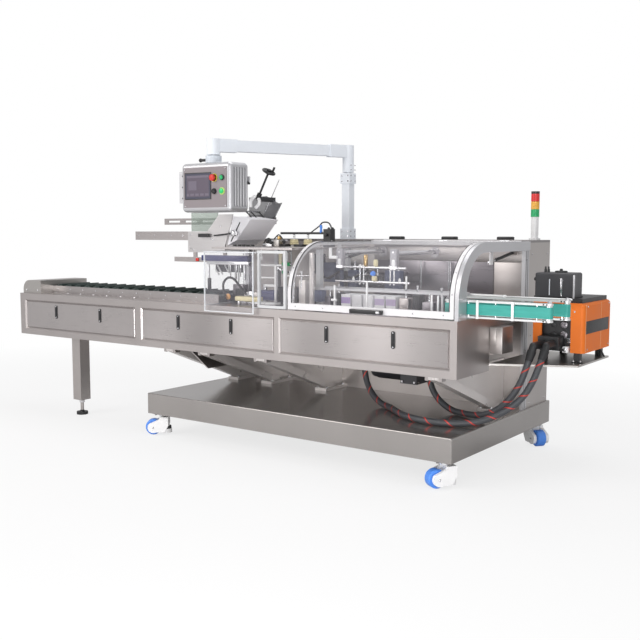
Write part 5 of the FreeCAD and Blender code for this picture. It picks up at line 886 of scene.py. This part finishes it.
inside.turns(chrome, SKY, 12, [(0, 9), (12, 9), (14, 5), (40, 5), (42, 8), (50, 8)],
             *((x, 268, z) for x, z in ((3142, 942), (3216, 964), (3290, 926), (3365, 956), (2625, 930),
                                        (2688, 952))))
inside.add(black, tube(smooth_path((2180, 705, 1050), (2300, 690, 1010), (2420, 680, 1060), (2520, 640, 1020),
                                   (2640, 655, 1075)), 8, 10))
for x, r in ((2898, 5), (3092, 3.5), (3103, 3.5)):
    rod = [(0, r), (130, r), (132, 1.8 * r), (142, 1.8 * r), (144, r), (269, r)]
    inside.turns(chrome, SKY, 12, rod, (x, 862, 862))
for x, high, finish in ((2787, 69, brass), (2857, 40, cream)):
    inside.turns(finish, SKY, 16, [(0, 9), (8, 14), (high - 8, 14), (high, 9)], (x, 400, 1107))
inside.turns(blue_moulding, FRONT, 16, [(0, 15), (8, 15), (12, 11), (20, 11)], (2852, 384, 1066))
for x, y, tall in ((2773, 100, 149), (2991, 100, 178), (3397, 100, 119), (3435, 100, 117), (3124, 300, 201)):
    pin = [(0, 10), (5, 10), (7, 5.5), (tall - 2, 5.5), (tall, 4)]
    inside.turns(white_moulding, SKY, 12, pin, (x, y, BED))
for x in (2747, 2773, 2957, 2983):
    inside.nuts(SKY, 9, (x, 400, 1106), finish=white_moulding)
    inside.nuts(DOWN, 8, (x, 400, 1009))
inside.turns(white_moulding, SKY, 12, [(0, 8), (10, 8), (12, 5), (20, 5)],
             *((x, 400, 1022) for x in (2700, 2850, 3020)))
for x in (2606, 2985):
    for turn in np.arange(4) * math.pi / 2 + math.pi / 4:
        inside.screws(FRONT, 4.5, (x + 25 * math.cos(turn), 876, 1184 + 25 * math.sin(turn)))
    inside.screws(FRONT, 7, (x, 385, 1190))
inside.deliver("hood_interior", "machine")

# %% [markdown]
# The hood itself has screws along its profiles, a soft seal beside each profile and hinge knuckles. The
# screws follow the bend: their places and their axes come from the same angle, (1 - cos a, sin a) on the
# circle and (-cos a, sin a) outward. All of this rides on the hood, so it lifts with it.

# %% hood fittings
KNUCKLES = [(0, 7), (1, 8), (28, 8), (29, 6.6), (31, 6.6), (32, 8), (59, 8), (60, 7)]
hood = Shop()
for x in (2526, 3567):
    for a in np.radians([8, 30, 52, 74]):
        out = (0, -math.cos(a), math.sin(a))
        hood.screws(out, 4.5, np.array((x, 304, 950)) + 304 * np.array(out))
    hood.screws(SKY, 4.5, *((x, y, 1254) for y in (420, 600, 780)))
bend = np.linspace(0, math.pi / 2, 16)
arc = np.stack([304 - 301 * np.cos(bend), 950 + 301 * np.sin(bend)], -1)
line = np.vstack([[(3, 905)], arc, [(836, 1251)]])
for x in (2539.5, 3553.5):
    hood.add(rubber_black, tube(np.insert(line, 0, x, axis=1), 3.2, 8))
hood.screws(FRONT, 4.5, *((x, 0.5, 885) for x in (2570, 2760, 3340, 3520)))
hood.turns(chrome, EAST, 16, KNUCKLES, *((x, 878, 1251) for x in (2610, 3016, 3420)))
hood.add(black_plastic, slab(rounded(192, 19, 7), 4, 2.5, (3058, -19, 880), EAST, SKY))
hood.add(chrome, slab(rounded(26, 12, 5.9), 2, 1, (3138, -22.6, 880), EAST, SKY))
hood.deliver("hood_fittings", "hood")

# %% [markdown]
# At the discharge the belts run between light bars on short pins. White posts stand in front of them.

# %% discharge
discharge = Shop()
discharge.blocks(white_moulding, 2.5, (3657, 89, 868, 3671, 95.6, 964), (3848, 89, 868, 3862, 95.6, 964))
for x in (3505, 3610, 3760, 3978, 4031):
    for y, low, high in ((104, 879, 889), (298, 875, 885)):
        discharge.turns(chrome, SKY, 10, [(0, 6), (4, 6), (5, 4), (high - low, 4)], (x, y, low))
        discharge.turns(chrome, SKY, 10, [(0, 4), (5, 4), (6, 6), (10, 6)], (x, y, high + 55))
for x, y, levels in ((4030, 96, (957, 875)), (3520, 96, (957, 875)), (4044, 290, (961, 871))):
    for z in levels:
        discharge.screws(FRONT, 4, (x, y, z), (x - 16, y, z), finish=black)
discharge.turns(chrome, EAST, 14, [(0, 7), (18, 7), (22, 5)], (4036, 352, 968))
discharge.turns(white_moulding, EAST, 14, [(0, 10), (9, 10), (14, 6)], (3690, 352, 968))
discharge.nuts(SKY, 11, (3488, 114, 962), (4038, 114, 962), (3488, 308, 966), (4052, 308, 966))
discharge.blocks(steel_upright, 4, (3602, 378, 655, 3674, 520, 800))
discharge.blocks(steel_upright, 2, (3602, 374, 700, 3640, 380, 798))
discharge.deliver("discharge_fittings", "machine")

# %% [markdown]
# The glue unit is an orange cover round a black core, with a tank on top. Its side has a bare black band
# and two seams, whose pale lines paint the highlight that runs along them. Behind the window are round
# filters and a grille. Each hose ends in a stiff tapered sleeve, so that it can't kink where it leaves its
# fitting.

# %% glue unit
# The seams are real; the pale colour of their tubes is a painted highlight.
painted_seam_highlight = coated("seam_highlight", (0.90, 0.48, 0.24), rough=0.3)
glue = Shop()
for y in (679, 921):
    glue.add(painted_seam_highlight, tube([(4019.2, y, 662), (4019.2, y, 918)], 1.8, 8))
for y in (705, 1045):
    glue.screws(EAST, 5, (4020, y, 674), (4020, y, 906))
glue.screws(FRONT, 5.5, (3755, 655, 880), (3965, 655, 880))
# A black plate on the tank's front paints the shade inside a slot.
glue.add(black, slab(rounded(10, 102, 4.9), 2, 0.8, (3799, 700.5, 1007), EAST, SKY))
glue.add(pale_blue, slab(rounded(6, 90, 2.9), 1.4, 0.5, (3802, 698.8, 1005), EAST, SKY))
glue.add(chrome, slab(rounded(11, 102, 5.4), 3, 1.2, (3869, 700.5, 1007), EAST, SKY))
glue.blocks(black, 0.9, (4018.5, 682, 758, 4021, 1048, 828))
glue.blocks(black, 3, (3712, 697, 948, 3941, 843, 956))
glue.blocks(black, 2, (3950, 664, 600, 4004, 694, 607))
glue.blocks(aluminium, 3, (3938, 686, 924, 3948, 696, 1076))
glue.blocks(white_moulding, 4, (3905, 640, 655, 3938, 690, 688))
glue.blocks(chrome, 1.2, *((3908, 684, z, 3934, 691, z + 3.5) for z in (706, 713, 720, 727)))
glue.turns(black, SKY, 14, [(0, 7), (18, 7), (20, 5), (30, 5), (34, 3)], (3762, 738, 1084), (3780, 738, 1084))
glue.turns(black, SKY, 28, [(0, 34), (3, 35), (8, 34), (10, 30), (10, 9), (20, 8), (22, 0)], (3840, 770, 1084))
glue.turns(black, WEST, 14, [(0, 11), (6, 11), (10, 7)], (3717, 716, 1048))
FILTER = [(0, 20), (7, 20), (9, 17), (9, 13), (6, 12), (6, 6), (10, 5)]
glue.turns(wall_steel, FRONT, 20, FILTER, (3896, 691, 802), (3896, 691, 747))
glue.turns(black, FRONT, 18, [(0, 16), (5, 16), (7, 12)], (3836, 691, 802), (3836, 691, 747))
glue.turns(chrome, FRONT, 14, [(0, 11), (10, 11), (12, 7), (22, 7)], (3921, 640, 672))
glue.add(black, tube([(4002, 955, 656), (4008, 985, 630), (4013, 1012, 602)], 5))
glue.nuts(SKY, 6, (3958, 672, 607), (3996, 672, 607), (3756, 724, 600), (3756, 1020, 600), (3984, 1040, 600))
for route in ROUTES.values():
    heading = unit(np.subtract(route[-1], route[-2]))
    glue.turns(rubber_black, heading, 24, [(0, 19.4), (3, 20), (44, 24), (58, 24)], route[-1] - 52 * heading)
    glue.turns(rubber_black, DOWN, 24, [(0, 25), (9, 25), (10, 22), (38, 19.6), (40, 19)], route[0])
glue.deliver("glue_fittings", "machine")

# %% [markdown]
# The operator panel is an extruded aluminium box with ribbed sides. Its buttons are turned shapes with
# soft rims: a red mushroom on a yellow ring, a green lamp, a black selector and a green start button in
# a light ring. They cover the plain buttons of the solid model and ride on the panel.

# %% operator panel
start_green = coated("start_green", (0.03, 0.62, 0.18), rough=0.25)
pale_ring = coated("pale_ring", (0.55, 0.75, 0.20), rough=0.4)
panel = Shop()
for y in np.linspace(104, 204, 5):
    for x, shift in ((2032, 1.5), (1621, -1.5)):
        panel.blocks(aluminium, 3.9, (x - 4 + shift, y - 8, 1464, x + 4 + shift, y + 8, 1700))
        # Dark grey strips between the ribs paint the shade in the grooves.
        panel.blocks(dark_grey, 1.8, (x - 2, y - 15, 1462, x + 2, y - 10, 1702))
panel.blocks(black_plastic, 1.8, (1660, 46, 1508, 1882, 50, 1513.5), (1660, 46, 1667.5, 1882, 50, 1673),
             (1660, 46, 1508, 1665.5, 50, 1673), (1876.5, 46, 1508, 1882, 50, 1673))
for x, y, z, sides, finish, profile in (
        (1908, 50, 1638, 28, yellow_moulding, [(0, 25), (3, 25), (5, 22)]),
        (1908, 36.5, 1638, 28, red_moulding, [(0, 19.6), (6, 20), (11, 16), (13.5, 9), (14, 0)]),
        (1972, 50, 1638, 24, black_plastic, [(0, 18), (5, 18), (7, 15)]),
        (1972, 44, 1638, 24, green_moulding, [(0, 14.2), (6, 13.6), (10, 9), (11.5, 0)]),
        (1972, 50, 1556, 24, pale_ring, [(0, 22), (4, 22), (6, 18)]),
        (1972, 45, 1556, 24, start_green, [(0, 16), (7, 16), (10, 12), (11, 0)]),
        (1908, 50, 1556, 24, black_plastic, [(0, 18), (4, 18), (6, 14.5), (14, 14.5), (16, 12)])):
    panel.turns(finish, FRONT, sides, profile, (x, y, z))
for x in (1658, 1997):
    for z in (1468, 1695):
        panel.screws(FRONT, 4.5, (x, 50, z))
        panel.screws(BACK, 6, (x, 234, z))
panel.screws(FRONT, 5, *((1586, 104, z) for z in (1520, 1590, 1660)), finish=black_plastic)
panel.blocks(black_plastic, 2, (1905.5, 31, 1544, 1910.5, 36, 1568))
panel.blocks(black_plastic, 3, (2020, 214, 1600, 2044, 230, 1618))
panel.blocks(aluminium, 4, (2026, 218, 1610, 2046, 229, 1650))
panel.blocks(aluminium, 1.8, *((1700, 232.5, z, 1950, 236.5, z + 9) for z in range(1500, 1680, 24)))
panel.turns(black_plastic, WEST, 18, [(0, 9.5), (4, 12), (10, 13), (16, 10), (19, 0)], (1716, 144, 1757))
panel.turns(pale_blue, SKY, 40, [(0, 50.6), (2, 51), (4, 50.6)], (1818, 144, 1741))
panel.deliver("operator_fittings", "operator_panel")

# %% [markdown]
# Post and arm are joined by sleeves with screws.

# %% post and arm
post = Shop()
for z in (1280, 1312, 1648, 1684):
    post.screws(EAST, 5.5, (2288, 976, z), (2288, 1024, z))
    post.screws(WEST, 5.5, (2212, 976, z), (2212, 1024, z))
    post.screws(FRONT, 5.5, (2226, 962, z), (2274, 962, z))
    post.screws(BACK, 5.5, (2226, 1038, z), (2274, 1038, z))
post.deliver("post_screws", "machine")
arm = Shop()
for z in (1722, 1752):
    arm.screws(EAST, 5.5, (2288, 976, z), (2288, 1024, z))
arm.turns(pale_blue, SKY, 40, [(0, 42.4), (1.5, 43), (3, 42.4)], (1818, 144, 1797))
arm.deliver("arm_screws", "arm")

# %% [markdown]
# A levelling caster has a ribbed thumbwheel that screws its foot down. The ribs come from the radius,
# which rises and falls with the angle: r(a) = r * (1 + 0.06 * cos 14a).

# %% casters
CORNERS = {"front_left": (1482, -4, 218), "front_right": (3547, -4, 236),
           "rear_left": (1482, 1152, 200), "rear_right": (3547, 1152, 321)}
RIM = 56
plates = Shop()
for corner, (x, y, heading) in CORNERS.items():
    ahead = np.array([math.cos(math.radians(heading)), math.sin(math.radians(heading)), 0])
    side = np.array([-ahead[1], ahead[0], 0])
    centre = np.array([x, y, 0.0])
    hub = centre - 25 * ahead
    wheel = turned(hub + (0, 0, 38), SKY, [(0, 26), (2, 28), (16, 28), (18, 26)], RIM)
    angle = np.linspace(0, 2 * math.pi, RIM, endpoint=False)[:, None]
    wheel[..., :2] = hub[:2] + (wheel[..., :2] - hub[:2]) * (1 + 0.06 * np.cos(14 * angle))
    knob = Shop()
    knob.add(black_plastic, wheel)
    for way in (1, -1):
        knob.screws(way * side, 7, centre + 58 * ahead + way * 52 * side + (0, 0, 50))
    knob.deliver("caster_knob_" + corner, "caster_" + corner)
    plates.blocks(rubber_black, 3, (x - 46, y - 46, 132, x + 46, y + 46, 139.9))
plates.deliver("caster_gaskets", "machine")

# %% [markdown]
# Under the beam the drive motor has cooling fins: its profile is a comb, spun round the shaft. The ribs
# are bolted to the plinth.

# %% drive and ribs
drive = Shop()
teeth = np.arange(14, 186, 12)
comb = np.stack([np.repeat(teeth, 4) + np.tile([0, 0, 4, 4], len(teeth)),
                 np.tile([66.4, 73, 73, 66.4], len(teeth))], -1)
drive.turns(dark_grey, EAST, 36, np.vstack([[(2, 66.4)], comb, [(198, 66.4)]]), (2800, 530, 500))
drive.turns(dark_grey, WEST, 36, [(0, 68), (18, 67), (26, 58), (26, 20), (24, 18)], (2802, 530, 500))
drive.blocks(dark_grey, 4, (2856, 496, 560, 2944, 566, 589.8))
for z in (434, 578):
    drive.nuts(EAST, 8, (3110, 464, z), (3110, 596, z))
    drive.nuts(FRONT, 8, (3014, 452, z), (3096, 452, z))
for x in (1513, 1815, 2275, 3447):
    for y in (672, 860):
        drive.nuts(SKY, 8, (x - 34, y, 290), (x + 34, y, 290))
drive.deliver("drive_fittings", "machine")

# %% [markdown]
# The back of the machine isn't in the photograph. It is finished plainly: three doors with hinges,
# latches and rows of louvres, which let out the heat of the drives.

# %% rear doors and roof
HINGE = [(0, 6), (2, 7), (28, 7), (29, 6), (31, 6), (32, 7), (58, 7), (60, 6)]
rear = Shop()
for left in (1464, 2176, 2888):
    rear.turns(chrome, SKY, 14, HINGE, *((left - 5, 1210, z) for z in (380, 760, 1120)))
    rear.add(black, slab(rounded(38, 112, 17), 4, 1.5, (left + 650, 1211.5, 760), WEST, SKY))
    rear.add(chrome, slab(rounded(16, 74, 7.8), 3, 1.2, (left + 650, 1215, 760), WEST, SKY))
    rear.blocks(steel_across, 2.6, *((left + 180, 1210.5, z, left + 520, 1216, z + 11)
                                     for z in 340 + 24 * np.arange(9)))
    for x in (left + 24, left + 674):
        rear.screws(BACK, 5.5, (x, 1212, 310), (x, 1212, 1208))
rear.blocks(black, 8, *((left - 2, 1148, 1259.5, left + 102, 1192, 1279) for left in (2484, 2882, 3272)))
rear.blocks(black, 0.7, (3599.4, 845, 276, 3601, 848, 1200), (3599.4, 868, 276, 3601, 871, 1200))
rear.screws(EAST, 5, *((3600, 858, z) for z in (330, 620, 1150)))
for y in (930, 1160):
    rear.screws(EAST, 5, *((3600, y, z) for z in (300, 700, 1180)))
rear.deliver("rear_fittings", "machine")

# %% [markdown]
# The studio has a white floor, large soft lamps and a dim sky. Light Path tells the camera's own rays
# apart from the light that falls on the machine. The camera sees plain white where there is nothing,
# and the machine is lit by the dim sky, so white walls don't wash the steel out. The floor mixes two
# shaders: a matt one that takes the machine's soft shadow, and white light that takes over with the
# distance from the machine, so that the floor has no visible end.

# %% studio
def lamp(name, place, aim, size, power, tint=(1, 1, 1)):
    """A large soft lamp that points at a place."""
    data = bpy.data.lights.new(name, "AREA")
    data.shape = "RECTANGLE"
    data.size, data.size_y = size
    data.energy = power
    data.color = tint
    made = bpy.data.objects.new(name, data)
    bpy.context.scene.collection.objects.link(made)
    back = unit(np.array(place, float) - np.array(aim, float))
    side = unit(np.cross((0, 0, 1), back))
    m = np.eye(4)
    m[:3, 0], m[:3, 1], m[:3, 2], m[:3, 3] = side, np.cross(back, side), back, place
    made.matrix_world = Matrix(m.tolist())


NEAR_GLOW, MIRROR_GLOW = 0.76, 0.62


def floor_finish():
    """Matt pale floor under the machine, plain white far from it and for the camera only."""
    f = Finish("studio_floor")
    place = f.where()
    across, deep = f.axis("X", place), f.axis("Y", place) * 1.4
    far = f.node("ShaderNodeMath", settings={"operation": "SQRT"}, i0=across * across + deep * deep)
    fade = ((far - 2.6) / 3.0).clamp()
    mirror_fade = ((far - 4.0) / 8.0).clamp()
    straight = f.node("ShaderNodeLightPath", out="Is Camera Ray")
    mirrored = f.node("ShaderNodeLightPath", out="Is Glossy Ray")
    mottle = f.noise(30.0, place)
    f.set(Base_Color=(0.80, 0.80, 0.80), Roughness=0.85 + mottle * 0.1)
    glow = f.node("ShaderNodeEmission", Color=(1.0, 1.0, 1.0), Strength=1.0)
    seen_floor = straight * (NEAR_GLOW + fade * (1 - NEAR_GLOW)) + mirrored * mirror_fade * MIRROR_GLOW
    mixed = f.node("ShaderNodeMixShader", i0=seen_floor)
    f.tree.links.new(f.surface.outputs[0], mixed.socket.node.inputs[1])
    f.tree.links.new(glow.socket, mixed.socket.node.inputs[2])
    f.tree.links.new(mixed.socket, f.output.inputs[0])
    return f.material


REACH = 40
sheet = bpy.data.meshes.new("studio_floor")
square = ((-1, -1), (1, -1), (1, 1), (-1, 1))
sheet.from_pydata([(x * REACH, y * REACH, 0) for x, y in square], [], [(0, 1, 2, 3)])
floor = bpy.data.objects.new("studio_floor", sheet)
bpy.context.scene.collection.objects.link(floor)
floor.data.materials.append(floor_finish())

MIRRORED_SHARE = 0.3
world = bpy.data.worlds.new("studio")
bpy.context.scene.world = world
world.use_nodes = True
tree = world.node_tree
tree.nodes.clear()
rays, seen, mix, end = (tree.nodes.new("ShaderNode" + kind)
                        for kind in ("LightPath", "Math", "MixShader", "OutputWorld"))
seen.operation, seen.use_clamp = "MULTIPLY_ADD", True
seen.inputs[1].default_value = MIRRORED_SHARE
tree.links.new(rays.outputs["Is Glossy Ray"], seen.inputs[0])
tree.links.new(rays.outputs["Is Camera Ray"], seen.inputs[2])
tree.links.new(seen.outputs[0], mix.inputs[0])
for slot, (colour, strength) in enumerate((((0.94, 0.93, 0.95, 1), 0.5), ((1, 1, 1, 1), 1.0)), 1):
    sky = tree.nodes.new("ShaderNodeBackground")
    sky.inputs[0].default_value, sky.inputs[1].default_value = colour, strength
    tree.links.new(sky.outputs[0], mix.inputs[slot])
tree.links.new(mix.outputs[0], end.inputs[0])

lamp("key_lamp", (-2.8, -5.2, 4.2), (-0.3, 0, 0.9), (4.0, 3.0), 172, (1.0, 0.97, 0.95))
lamp("low_lamp", (-2.6, -5.6, 1.3), (0.4, -0.5, 0.7), (2.6, 1.2), 25, (1.0, 0.97, 0.96))
lamp("side_lamp", (5.2, -2.8, 3.0), (0.5, 0, 0.8), (2.4, 2.4), 12)
lamp("soft_fill", (4.7, -4.7, 2.0), (0.2, 0, 0.8), (2.4, 2.0), 60)
lamp("under_fill", (2.1, -3.7, 0.35), (-0.1, 0.3, 0.42), (2.0, 0.5), 36)
lamp("top_lamp", (0.3, 0.8, 5.0), (0.3, 0.4, 0.8), (5.0, 3.0), 95)
print("studio ready")
